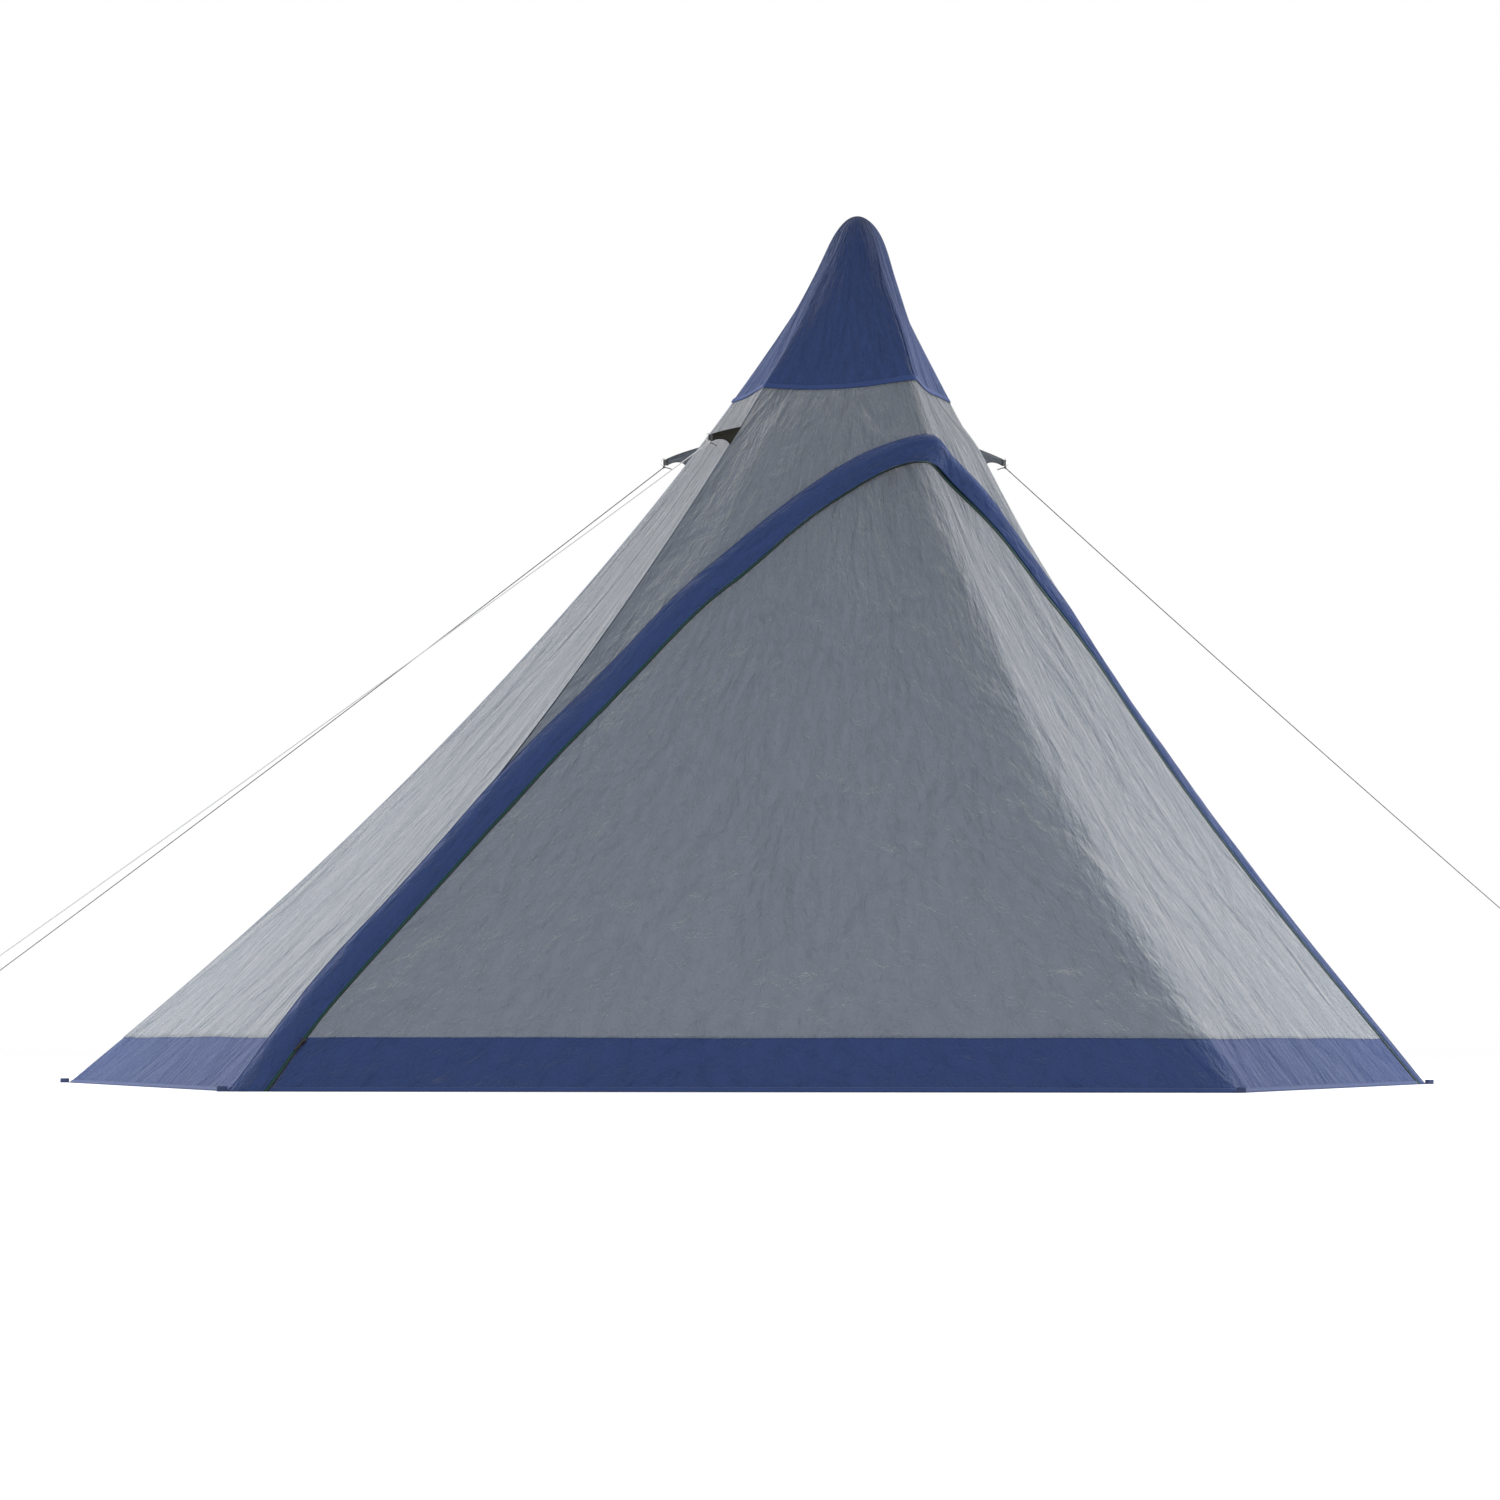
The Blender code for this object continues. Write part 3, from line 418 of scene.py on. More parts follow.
looks = {}
clothLooks = {
    "greyCloth": dict(colour=(0.194, 0.222, 0.270), sheen=1.0, gloss=0.12, roughness=0.8, contrast=0.05),
    "blueCloth": dict(colour=(0.036, 0.062, 0.172), sheen=0.17, gloss=0.08, roughness=0.75, contrast=0.05),
    "tabCloth": dict(colour=(0.140, 0.158, 0.188), sheen=0.22, gloss=0.1, roughness=0.8, contrast=0.1),
    # the tab cloth darkened as painted shade: a shaded copy of tabCloth for the front-left tab
    "paintedShadeTabCloth": dict(colour=(0.034, 0.033, 0.027), sheen=0.04, gloss=0.1, roughness=0.8, contrast=0.15),
}
sheenRoughness = 0.27


def startMaterial(name):
    looks[name] = bpy.data.materials.new(name)
    looks[name].use_nodes = True
    return looks[name].node_tree, looks[name].node_tree.nodes["Principled BSDF"]


def clothShine(look):
    return {
        "Sheen Weight": look["sheen"],
        "Sheen Roughness": sheenRoughness,
        "Specular IOR Level": look["gloss"],
    }


def clothMaterial(name):
    look = clothLooks[name]
    tree, shader = startMaterial(name)
    uv = uvOutput(tree)
    creases = placeGroup(tree, "creases", uv)
    weave = placeGroup(tree, "weave", uv)
    # dark and light follow the creases: painted shade, darker in the crease hollows and lighter on their tops
    dark = shaded(look["colour"], 1 - look["contrast"])
    light = shaded(look["colour"], 1 + look["contrast"])
    tone = mixColours(tree, creases["Tone"], dark, light)
    creased = bumpNode(tree, creases["Height"], 1.0, 0.018)
    fill(tree, shader, {
        # the weave's Mask darkens the colour between the yarns: painted shade
        "Base Color": mixColours(tree, times(tree, weave["Mask"], 0.12), tone, shaded(look["colour"], 0.6)),
        "Roughness": mathNode(tree, "MULTIPLY_ADD", creases["Tone"], 0.16, look["roughness"] - 0.08),
        "Normal": bumpNode(tree, weave["Height"], 0.2, 0.0002, Normal=creased),
        **clothShine(look),
    })


def seamMaterial(name, cloth, thread, rows=(0.003, 0.010)):
    # a folded strip of the cloth with rows of stitches; UV x runs across it in metres
    look = clothLooks[cloth]
    tree, shader = startMaterial(name)
    uv = uvOutput(tree)
    weave = placeGroup(tree, "weave", uv)
    grain = placeGroup(tree, "grain", uv, Scale=60.0)
    stitches = mathNode(tree, "ADD", *[placeGroup(tree, "stitch", uv, Offset=row)["Mask"] for row in rows])
    tone = mixColours(tree, grain["Tone"], shaded(look["colour"], 0.8), shaded(look["colour"], 1.25))
    fill(tree, shader, {
        "Base Color": mixColours(tree, stitches, tone, thread),
        "Roughness": mathNode(tree, "MULTIPLY_ADD", grain["Tone"], 0.2, 0.6),
        "Normal": bumpNode(tree, mathNode(tree, "MULTIPLY_ADD", weave["Height"], 0.2, stitches), 0.5, 0.0006),
        **clothShine(look),
    })


def webbingMaterial(name, dark, light):
    # ribbed webbing: diagonal ribs that meet along the middle
    tree, shader = startMaterial(name)
    uv = uvOutput(tree)
    split = splitVector(tree, uv)
    slant = mathNode(tree, "ADD", mathNode(tree, "ABSOLUTE", split["X"]), split["Y"])
    rib = ridges(tree, slant, 2600.0)
    dusty = times(tree, placeGroup(tree, "grain", uv, Scale=300.0)["Tone"], 0.25)
    fill(tree, shader, {
        # the ribs' dark and light colours follow their height: painted shade between the ribs
        "Base Color": mixColours(tree, dusty, mixColours(tree, rib, dark, light), shaded(light, 2.2)),
        "Roughness": mathNode(tree, "MULTIPLY_ADD", rib, -0.15, 0.85),
        "Normal": bumpNode(tree, rib, 0.6, 0.0004),
    })


def cordMaterial(name, colour, fleck, turnLength=0.0055):
    # a braided sheath with a fleck thread in it; UV x runs once round the cord
    tree, shader = startMaterial(name)
    split = splitVector(tree, uvOutput(tree))
    turns = times(tree, split["X"], 4 * math.pi)
    run = times(tree, split["Y"], 2 * math.pi / turnLength)
    left = mathNode(tree, "SINE", mathNode(tree, "ADD", turns, run))
    crossed = times(tree, left, mathNode(tree, "SINE", mathNode(tree, "SUBTRACT", turns, run)))
    braid = mathNode(tree, "MULTIPLY_ADD", crossed, 0.5, 0.5)
    flecks = mathNode(tree, "GREATER_THAN", crossed, 0.78)
    fill(tree, shader, {
        # the braid's hollows darken the sheath: painted shade
        "Base Color": mixColours(tree, flecks, mixColours(tree, braid, shaded(colour, 0.6), colour), fleck),
        "Roughness": mathNode(tree, "MULTIPLY_ADD", braid, -0.2, 0.7),
        "Normal": bumpNode(tree, braid, 0.7, 0.0005),
    })


def coilMaterial(name, pitch=0.0016):
    # zip coil: close turns of a moulded thread across the chain
    tree, shader = startMaterial(name)
    tooth = ridges(tree, splitVector(tree, uvOutput(tree))["Y"], math.pi / pitch)
    fill(tree, shader, {
        # the turns' crowns are lighter and the gaps between them darker: painted shade
        "Base Color": mixColours(tree, tooth, (0.002, 0.016, 0.013), (0.006, 0.10, 0.078)),
        "Roughness": mathNode(tree, "MULTIPLY_ADD", tooth, -0.25, 0.6),
        "Normal": bumpNode(tree, tooth, 0.8, 0.0006),
    })


def tapeMaterial(name):
    tree, shader = startMaterial(name)
    uv = uvOutput(tree)
    weave = placeGroup(tree, "weave", uv, Yarn=0.0008)
    grain = placeGroup(tree, "grain", uv, Scale=120.0)
    fill(tree, shader, {
        # the colour follows the weave's height: painted shade between the yarns, lighter on their crowns
        "Base Color": mixColours(tree, weave["Height"], (0.006, 0.007, 0.009), (0.024, 0.026, 0.032)),
        "Roughness": mathNode(tree, "MULTIPLY_ADD", grain["Tone"], 0.2, 0.65),
        "Normal": bumpNode(tree, weave["Height"], 0.5, 0.0003),
    })


def solidMaterial(name, dark, light, roughness, metallic, scale, relief, stretch=(1, 1, 1)):
    # moulded plastic or metal, with a grain that breaks up its gloss
    tree, shader = startMaterial(name)
    vector = stretched(tree, makeNode(tree, "TexCoord", {})["Object"], stretch)
    grain = placeGroup(tree, "grain", vector, Scale=scale)
    fill(tree, shader, {
        "Base Color": mixColours(tree, grain["Tone"], dark, light),
        "Roughness": mathNode(tree, "MULTIPLY_ADD", grain["Height"], 0.22, roughness - 0.11),
        "Normal": bumpNode(tree, grain["Height"], 0.4, relief),
        "Metallic": metallic,
    })


solidLooks = {
    # dark and light colour, roughness, metallic, scale of the grain, its relief and stretch
    "blackZinc": ((0.03, 0.03, 0.032), (0.07, 0.07, 0.074), 0.45, 1.0, 1200.0, 0.00005),
    "platedSteel": ((0.52, 0.52, 0.51), (0.72, 0.72, 0.71), 0.28, 1.0, 900.0, 0.00005),
    "drawnTube": ((0.20, 0.205, 0.215), (0.36, 0.365, 0.375), 0.38, 1.0, 260.0, 0.00008, (1, 1, 0.06)),
    "mouldedPlastic": ((0.012, 0.012, 0.013), (0.03, 0.03, 0.032), 0.5, 0.0, 1400.0, 0.00008),
    "tackThread": ((0.16, 0.165, 0.17), (0.34, 0.345, 0.35), 0.75, 0.0, 2500.0, 0.0001),
}
for name in clothLooks:
    clothMaterial(name)
seamMaterial("greySeam", "greyCloth", (0.42, 0.44, 0.46))
seamMaterial("blueSeam", "blueCloth", (0.03, 0.05, 0.14))
webbingMaterial("blackWebbing", (0.006, 0.006, 0.007), (0.026, 0.026, 0.028))
webbingMaterial("blueWebbing", (0.012, 0.020, 0.058), (0.028, 0.046, 0.13))
cordMaterial("paleCord", (0.74, 0.75, 0.76), (0.92, 0.92, 0.92))
cordMaterial("darkCord", (0.10, 0.103, 0.108), (0.17, 0.17, 0.175))
coilMaterial("zipCoil")
tapeMaterial("zipTape")
for name, facts in solidLooks.items():
    solidMaterial(name, *facts)
print(len(looks), "materials")

# making pieces

making = {"mergeGap": 0.00001, "groundGap": 0.0004}


def setUvs(bm, uvPlace):
    layer = bm.loops.layers.uv.new("clothUV")
    for face in bm.faces:
        for loop in face.loops:
            loop[layer].uv = uvPlace(loop.vert.co)


def addToScene(name, data):
    made = bpy.data.objects.new(name, data)
    bpy.context.scene.collection.objects.link(made)
    return made


def meshObject(name, bm, look):
    mesh = bpy.data.meshes.new(name)
    bm.to_mesh(mesh)
    bm.free()
    mesh.shade_smooth()
    mesh.materials.append(looks[look])
    return addToScene(name, mesh)


def finishPiece(name, bm, look, body, thickness=0, offset=-1, bevel=0):
    piece = meshObject(name, bm, look)
    if thickness:
        wall = piece.modifiers.new("wall", "SOLIDIFY")
        wall.thickness = thickness
        wall.offset = offset
    if bevel:
        edge = piece.modifiers.new("edge", "BEVEL")
        edge.width = bevel
        edge.segments = 1
    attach(piece, body)
    return piece


def gridPiece(name, size, place, uvPlace, look, body, lift=None, inside=None, around=False, cut=False,
              **finish):
    # a grid whose (u, v) from 0 to 1 is carried to its place, then moved out along its normals by lift
    bm = bmesh.new()
    bmesh.ops.create_grid(bm, x_segments=size[0], y_segments=size[1], size=0.5)
    bmesh.ops.translate(bm, verts=bm.verts, vec=(0.5, 0.5, 0))
    setUvs(bm, lambda co: uvPlace(co.x, co.y))
    shares = [(vert.co.x, vert.co.y) for vert in bm.verts]
    for vert, (u, v) in zip(bm.verts, shares):
        vert.co = place(u, v)
    bm.normal_update()
    if inside is not None:
        sides = [face.normal.dot(face.calc_center_median() - inside) * face.calc_area() for face in bm.faces]
        if sum(sides) < 0:
            bmesh.ops.reverse_faces(bm, faces=bm.faces[:])
            bm.normal_update()
    if lift is not None:
        moves = [vert.normal * lift(u, v) for vert, (u, v) in zip(bm.verts, shares)]
        for vert, move in zip(bm.verts, moves):
            vert.co += move
    if around:
        bmesh.ops.remove_doubles(bm, verts=bm.verts, dist=making["mergeGap"])
        if inside is None:
            bmesh.ops.recalc_face_normals(bm, faces=bm.faces)
    if cut:
        # what would reach under the ground is cut off
        everything = bm.verts[:] + bm.edges[:] + bm.faces[:]
        bmesh.ops.bisect_plane(bm, geom=everything, dist=making["mergeGap"], plane_no=upright,
                               plane_co=upright * making["groundGap"], clear_inner=True)
    bmesh.ops.translate(bm, verts=bm.verts, vec=poleFoot)
    return finishPiece(name, bm, look, body, **finish)


def ribbon(name, track, profile, look, body, wrapped=False, **more):
    # track: (point, across, up) along the run; profile: (across, up) pairs over the width
    rows = len(track) - 1
    columns = len(profile) - 1
    runs = lengthsAlong([point for point, across, up in track])
    widths = lengthsAlong([Vector(pair) for pair in profile])

    def place(u, v):
        point, across, up = track[round(v * rows)]
        side, rise = profile[round(u * columns)]
        return point + across * side + up * rise

    def uvPlace(u, v):
        return (u if wrapped else widths[round(u * columns)], runs[round(v * rows)])

    return gridPiece(name, (columns, rows), place, uvPlace, look, body, **more)


def circleProfile(radius, sides, rise=0):
    angles = [2 * math.pi * share for share in evenShares(sides)]
    return [(radius * math.cos(angle), rise + radius * math.sin(angle)) for angle in angles]


def tube(name, points, radius, sides, look, body, up, closed=False):
    if closed:
        points = points + [points[0]]
    track = []
    for index, point in enumerate(points):
        along = (points[min(len(points) - 1, index + 1)] - points[max(0, index - 1)]).normalized()
        across = along.cross(up).normalized()
        track.append((point, across, across.cross(along).normalized()))
    if closed:
        across = (points[1] - points[-2]).normalized().cross(up).normalized()
        track[0] = track[-1] = (points[0], across, up)
    piece = ribbon(name, track, circleProfile(radius, sides), look, body, wrapped=True, around=True)
    if not closed:
        capEnds(piece)
    return piece


def capEnds(piece):
    bm = bmesh.new()
    bm.from_mesh(piece.data)
    bmesh.ops.holes_fill(bm, edges=[edge for edge in bm.edges if edge.is_boundary], sides=0)
    bmesh.ops.recalc_face_normals(bm, faces=bm.faces)
    bm.to_mesh(piece.data)
    bm.free()
    piece.data.shade_smooth()


def standFor(node):
    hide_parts(node)


# cloth walls

cloth = {
    "wall": 0.0012,
    "overlap": 0.014,
    "lap": 0.004,
    # ripples: how often across and along the face, where in the noise, how high
    "ripples": ((2.6, 0.9, 0.0, 0.0050), (13.0, 1.7, 7.3, 0.0016), (34.0, 5.0, 13.9, 0.0006)),
    "patternScale": (1.35, 1.2),
    "taper": 0.94,
    "slopeFullness": 0.92,
    "skirtFullness": 1.35,
    "sideColumns": 96,
    "sideRows": 150,
    "skirtRows": 14,
    "sideSeeds": {"left": 3.1, "back": 11.4, "right": 21.8},
}
sideCorners = {
    "left": ("backLeft", "frontLeft"),
    "back": ("backRight", "backLeft"),
    "right": ("frontRight", "backRight"),
}
wallTop = canopy["capRim"] + canopy["underCap"]
wallFoot = canopy["skirtHeight"] - cloth["lap"]
skirtTop = canopy["skirtHeight"] + cloth["overlap"]


def ripple(x, y, seed):
    waves = cloth["ripples"]
    return sum(noise.noise(Vector((x * a, y * b, seed + shift))) * height for a, b, shift, height in waves)


def edgeFade(share, width=0.05):
    return smoothStep(0, width, share) * smoothStep(0, width, 1 - share)


def clothPattern(share, z, shift):
    return (share * cloth["patternScale"][0] + shift, z * cloth["patternScale"][1])


def clothPiece(name, size, place, uvPlace, look, body, lift, **more):
    settings = {"inside": insidePoint, "thickness": cloth["wall"], **more}
    return gridPiece(name, size, place, uvPlace, look, body, lift=lift, **settings)


def makeSideWall(side):
    first, second = sideCorners[side]
    seed = cloth["sideSeeds"][side]

    def sidePiece(kind, low, high, rows, look, proud):
        def place(u, v):
            return sidePoint(first, second, low + (high - low) * v, u)

        def lift(u, v):
            z = low + (high - low) * v
            fade = edgeFade(u) * smoothStep(0, 0.05, z) * smoothStep(0, 0.15, wallTop - z)
            return proud + ripple((u - 0.5) * 1.5, z, seed) * fade

        def uvPlace(u, v):
            return clothPattern(u - 0.5, low + (high - low) * v, seed)

        return clothPiece(side + kind, (cloth["sideColumns"], rows), place, uvPlace, look, "tent", lift)

    panel = sidePiece("Wall", wallFoot, wallTop, cloth["sideRows"], "greyCloth", 0.0012)
    skirt = sidePiece("Skirt", 0.0, skirtTop, cloth["skirtRows"], "blueCloth", 0.0)
    standFor(side + "_panel")
    standFor(side + "_skirt")
    slope = (sidePoint(first, second, 0, 0.5) - sidePoint(first, second, wallTop, 0.5)).length
    topWidth = (sidePoint(first, second, wallTop, 0) - sidePoint(first, second, wallTop, 1)).length


front = {
    "rows": 70,
    "endShare": 0.9985,
    "lowest": 0.3,
    "underBand": 0.012,
    "proud": 0.0004,
    "rippleShare": 0.8,
    "seed": 31.7,
    "patternShift": 40,
}


def makeFrontWall():
    # the face above the arch, whose feet it leaves out
    line = [(z, share) for z, share in outline if abs(share) < front["endShare"] and z > front["lowest"]]
    columns = len(line) - 1

    def place(u, v):
        z, share = line[round(u * columns)]
        low = z - front["underBand"]
        return frontPoint(low + (wallTop - low) * v, share)

    def lift(u, v):
        z, share = line[round(u * columns)]
        fade = edgeFade((share + 1) / 2, 0.03) * smoothStep(0, 0.12, v) * smoothStep(0, 0.2, 1 - v)
        waves = ripple(share * 1.3, z + (wallTop - z) * v, front["seed"])
        return front["proud"] + waves * front["rippleShare"] * fade

    def uvPlace(u, v):
        z, share = line[round(u * columns)]
        scale = cloth["patternScale"][1]
        return (share * scale + front["patternShift"], (z + (wallTop - z) * v) * scale)

    panel = clothPiece("frontWall", (columns, front["rows"]), place, uvPlace, "greyCloth", "tent", lift)
    standFor("front_panel")


door = {
    "edgeInset": 0.0685,
    "edgeWidth": 0.02,
    "rows": 110,
    "skirtSize": (300, 12),
    "seed": 52.0,
    "patternShift": 60,
}
doorEdge = archLine(door["edgeInset"])


def doorPiece(name, size, spot, look, proud, fadeAt):
    def place(u, v):
        return frontPoint(*spot(u, v), 0.0)

    def lift(u, v):
        z, share = spot(u, v)
        fade = fadeAt(z, v) * edgeFade(u, door["edgeWidth"])
        return proud(fade) + ripple(share * 1.5, z, door["seed"]) * fade

    def uvPlace(u, v):
        z, share = spot(u, v)
        return clothPattern(share, z, door["patternShift"])

    return clothPiece(name, size, place, uvPlace, look, "door", lift)


def makeDoor():
    line = lineAbove(doorEdge, wallFoot)
    columns = len(line) - 1

    def spot(u, v):
        z, share = line[round(u * columns)]
        baseShare = line[0][1] + (line[-1][1] - line[0][1]) * u
        return wallFoot + (z - wallFoot) * v, baseShare + (share - baseShare) * v

    panel = doorPiece("doorCloth", (columns, door["rows"]), spot, "greyCloth",
                      lambda fade: 0.0010 * fade, lambda z, v: smoothStep(0, 0.08, 1 - v))
    standFor("door_panel")


def makeDoorSkirt():
    halves = {side: sorted(point for point in doorEdge if point[1] * side > 0) for side in (-1, 1)}

    def shareAt(z, side):
        for below, above in zip(halves[side], halves[side][1:]):
            if below[0] <= z <= above[0]:
                t = (z - below[0]) / (above[0] - below[0])
                return below[1] + (above[1] - below[1]) * t
        return side

    def spot(u, v):
        left = shareAt(skirtTop * v, -1)
        return skirtTop * v, left + (shareAt(skirtTop * v, 1) - left) * u

    skirt = doorPiece("doorSkirt", door["skirtSize"], spot, "blueCloth",
                      lambda fade: -0.0002, lambda z, v: smoothStep(0, 0.05, z))
    standFor("door_skirt")


for side in sideCorners:
    makeSideWall(side)
makeFrontWall()
makeDoor()
makeDoorSkirt()
print("cloth walls and door made")

# cap over the peak

cap = {
    "size": (200, 70),
    "proud": 0.0030,
    "levelPower": 1.7,
    "topGap": 0.0006,
    # waves: how often round the peak and up it, how high
    "waves": ((2.2, 1.3, 0.0035), (9, 2.5, 0.0012)),
    "rimDrop": 0.002,
    "dip": -0.012,
    "dipPlace": 0.86,
    "dipWidth": 0.07,
    "swell": 0.010,
    "swellSpread": 0.004,
    "hemSteps": 240,
    "hem": [(-0.0005, 0.0018), (-0.0015, 0.0032), (0.0, 0.0052), (0.004, 0.0056), (0.009, 0.0054),
            (0.012, 0.0044), (0.013, 0.0030)],
    "middle": Vector((0, 0, 1.6)),
}


def capRim(u):
    # the rim's height wavers round the peak
    angle = 2 * math.pi * u
    dip = cap["dip"] * math.exp(-((u - cap["dipPlace"]) / cap["dipWidth"]) ** 2)
    swell = cap["swell"] * math.exp(-min(u, 1 - u) ** 2 / cap["swellSpread"])
    waver = 0.002 * math.sin(3 * angle) + 0.0015 * math.sin(7 * angle + 1)
    return canopy["capRim"] - cap["rimDrop"] + dip + swell + waver


def capPlace(u, z):
    face = min(int(u * len(corners)), len(corners) - 1)
    share = u * len(corners) - face
    if face == 0:
        return frontPoint(z, share)
    if face == len(corners) - 1:
        return frontPoint(z, share - 1 if share < 1 else 0)
    return sidePoint(corners[face], corners[face + 1], z, share)


def makeCap():
    top = canopy["height"] - cap["topGap"]

    def level(u, v):
        return top - (top - capRim(u)) * (1 - v) ** cap["levelPower"]

    def lift(u, v):
        x, y = math.cos(2 * math.pi * u), math.sin(2 * math.pi * u)
        waves = sum(noise.noise(Vector((x * a, y * a, v * b))) * height for a, b, height in cap["waves"])
        return (cap["proud"] + waves * smoothStep(0.02, 0.14, v)) * smoothStep(0, 0.35, 1 - v)

    piece = clothPiece("capCloth", cap["size"], lambda u, v: capPlace(u, level(u, v)),
                       lambda u, v: (u * 2.2 + 80, level(u, v) * 1.1), "blueCloth", "tent", lift,
                       inside=cap["middle"], around=True)
    standFor("canopy_cap")
    rim = []
    for step in range(cap["hemSteps"] + 1):
        u = step % cap["hemSteps"] / cap["hemSteps"]
        z = capRim(u)
        point = capPlace(u, z)
        along = (capPlace((u + 0.001) % 1, z) - point).normalized()
        up = (capPlace(u, z + 0.01) - point).normalized()
        rim.append((point, up, facingOut(along, up, point, Vector())))
    hem = ribbon("capHem", rim, cap["hem"], "blueSeam", "tent", around=True, thickness=0.001,
                 inside=cap["middle"])


makeCap()
print("cap made")

# storm band, zip and tapes along the arch

band = {
    "start": -0.002,
    "width": 0.066,
    "columns": 18,
    "widerLeft": 0.003,
    "leftEnds": (0.45, 0.6),
    "turnedIn": 0.8,
    "turnStart": 0.3,
    "cornerReach": 4,
    "proud": 0.0026,
    "bulge": 0.0115,
    "power": 2.6,
    "pressed": 0.65,
    "pressedRuns": (0.74, 0.86),
    "pucker": 0.0035,
    "swell": 0.22,
    "wrinkle": 0.0008,
    "lip": (0.002, 0.0008),
    "wall": 0.0014,
    "edges": {"bandUpperEdge": 0.0, "bandLowerEdge": 0.96},
    "edgeRadius": 0.0014,
}


def surfaceLine(inset, hood):
    line = archLine(inset)
    return [frontPoint(*line[spot], hood) for spot in archSpots]


def smoothed(line, reach):
    # rounds the corner that the line makes over the front ridge
    result = []
    for index in range(len(line)):
        near = min(reach, index, len(line) - 1 - index)
        span = line[index - near:index + near + 1]
        result.append(sum(span, Vector()) / len(span))
    return result


def edgeTrack(places):
    return [(place, archFrames[spot][1], archFrames[spot][2]) for place, spot in zip(places, archSpots)]


def makeBand():
    total = archRuns[-1]
    rows = len(archSpots) - 1
    columns = band["columns"]
    insets = [band["start"] + band["width"] * column / columns for column in range(columns + 1)]
    hooded = [surfaceLine(inset, 1.0) for inset in insets]
    flat = [smoothed(surfaceLine(inset, 0.0), band["cornerReach"]) for inset in insets]

    def place(u, v):
        row = round(v * rows)
        column = round(u * columns)
        inward, normal = archFrames[archSpots[row]][1:3]
        run = archRuns[row]
        turned = band["turnedIn"] * smoothStep(band["turnStart"], 1.0, u)
        point = hooded[column][row].lerp(flat[column][row], turned)
        shift = band["pucker"] * noise.noise(Vector((run * 5.0, 2.0, 0.5))) * (1 - u)
        shift += band["widerLeft"] * u * (1 - smoothStep(*band["leftEnds"], run / total))
        pressed = band["pressed"] * smoothStep(*band["pressedRuns"], run / total)
        plump = (1 + band["swell"] * noise.noise(Vector((run * 6.0, 9.0, 1.5)))) * (1 - pressed)
        rise = band["proud"] + band["bulge"] * plump * (1 - abs(2 * u - 1) ** band["power"])
        rise += band["wrinkle"] * noise.noise(Vector((run * 30.0, u * 3.0, 4.5))) * math.sin(math.pi * u)
        if u > 0.999:
            shift -= band["lip"][0]
            rise -= band["lip"][1]
        return point + inward * shift + normal * rise

    def uvPlace(u, v):
        return (u * band["width"] + 95, archRuns[round(v * rows)] * 0.6)

    piece = clothPiece("stormBand", (columns, rows), place, uvPlace, "blueCloth", "tent", None, cut=True,
                       thickness=band["wall"])
    standFor("arch_band")
    for name, u in band["edges"].items():
        track = edgeTrack([place(u, v) for v in evenShares(rows)])
        profile = circleProfile(band["edgeRadius"], 8)
        ribbon(name, track[::2], profile, "blueSeam", "tent", around=True, cut=True)


zipper = {
    # node, body and section: distance from the arch's outer line and height over the door's face
    "strips": {
        "zipFacing": ("zip_facing", "tent", (
            (0.030, 0.0004), (0.042, 0.0006), (0.054, 0.0008), (0.0655, 0.0008),
        )),
        "doorZipTape": ("door_zip_tape", "door", (
            (0.0668, 0.0012), (0.0685, 0.0018), (0.0705, 0.0018), (0.0715, 0.0010),
        )),
    },
    "coils": {"zipCoilFixed": ("tent", 0.0648), "zipCoilDoor": ("door", 0.0677)},
    "coilRadius": 0.0013,
    "coilRise": 0.0022,
}


def makeStrip(name):
    node, body, profile = zipper["strips"][name]
    rows = len(archSpots) - 1
    columns = len(profile) - 1
    lines = [surfaceLine(inset, 0.0) for inset, rise in profile]

    def place(u, v):
        row = round(v * rows)
        column = round(u * columns)
        return lines[column][row] + archFrames[archSpots[row]][2] * profile[column][1]

    def uvPlace(u, v):
        return (profile[round(u * columns)][0], archRuns[round(v * rows)])

    piece = clothPiece(name, (columns, rows), place, uvPlace, "zipTape", body, None, cut=True)
    standFor(node)


def makeZip():
    for name in zipper["strips"]:
        makeStrip(name)
    for name, (body, inset) in zipper["coils"].items():
        profile = circleProfile(zipper["coilRadius"], 8, zipper["coilRise"])
        track = edgeTrack(surfaceLine(inset, 0.0))
        ribbon(name, track, profile, "zipCoil", body, around=True, cut=True)


makeBand()
makeZip()
print("band and zip made")

# seams on the ridges and hems along the ground

seam = {
    "steps": 90,
    "underCap": 0.005,
    "overSkirt": 0.002,
    "strip": [(0.0, 0.0004), (0.0008, 0.0018), (0.0035, 0.0023), (0.0065, 0.0021), (0.0095, 0.0023),
              (0.0122, 0.0018), (0.013, 0.0004)],
    # the face that carries the seam, and which of its two ridges
    "runs": {
        "seamFrontLeft": ("backLeft", "frontLeft", 1),
        "seamBackLeft": ("backLeft", "frontLeft", 0),
        "seamBackRight": ("frontRight", "backRight", 1),
        "seamFrontRight": ("frontRight", "backRight", 0),
    },
    "hem": [(0.0, 0.0002), (0.0, 0.0012), (0.003, 0.0016), (0.011, 0.0016), (0.013, 0.0006)],
    "hemRise": 0.0006,
    "sideSteps": 60,
    "doorSteps": 160,
}


def makeRidgeSeam(name):
    first, second, edge = seam["runs"][name]
    low = canopy["skirtHeight"] - seam["overSkirt"]
    high = capRim(corners.index((first, second)[edge]) / len(corners)) + seam["underCap"]
    track = []
    for share in evenShares(seam["steps"]):
        z = low + (high - low) * share
        point = sidePoint(first, second, z, edge)
        up = (sidePoint(first, second, z + 0.002, edge) - point).normalized()
        across = (sidePoint(first, second, z, abs(edge - 0.01)) - point).normalized()
        across = (across - up * across.dot(up)).normalized()
        track.append((point, across, facingOut(across, up, point)))
    piece = ribbon(name, track, seam["strip"], "greySeam", "tent", thickness=0.0008, inside=insidePoint)


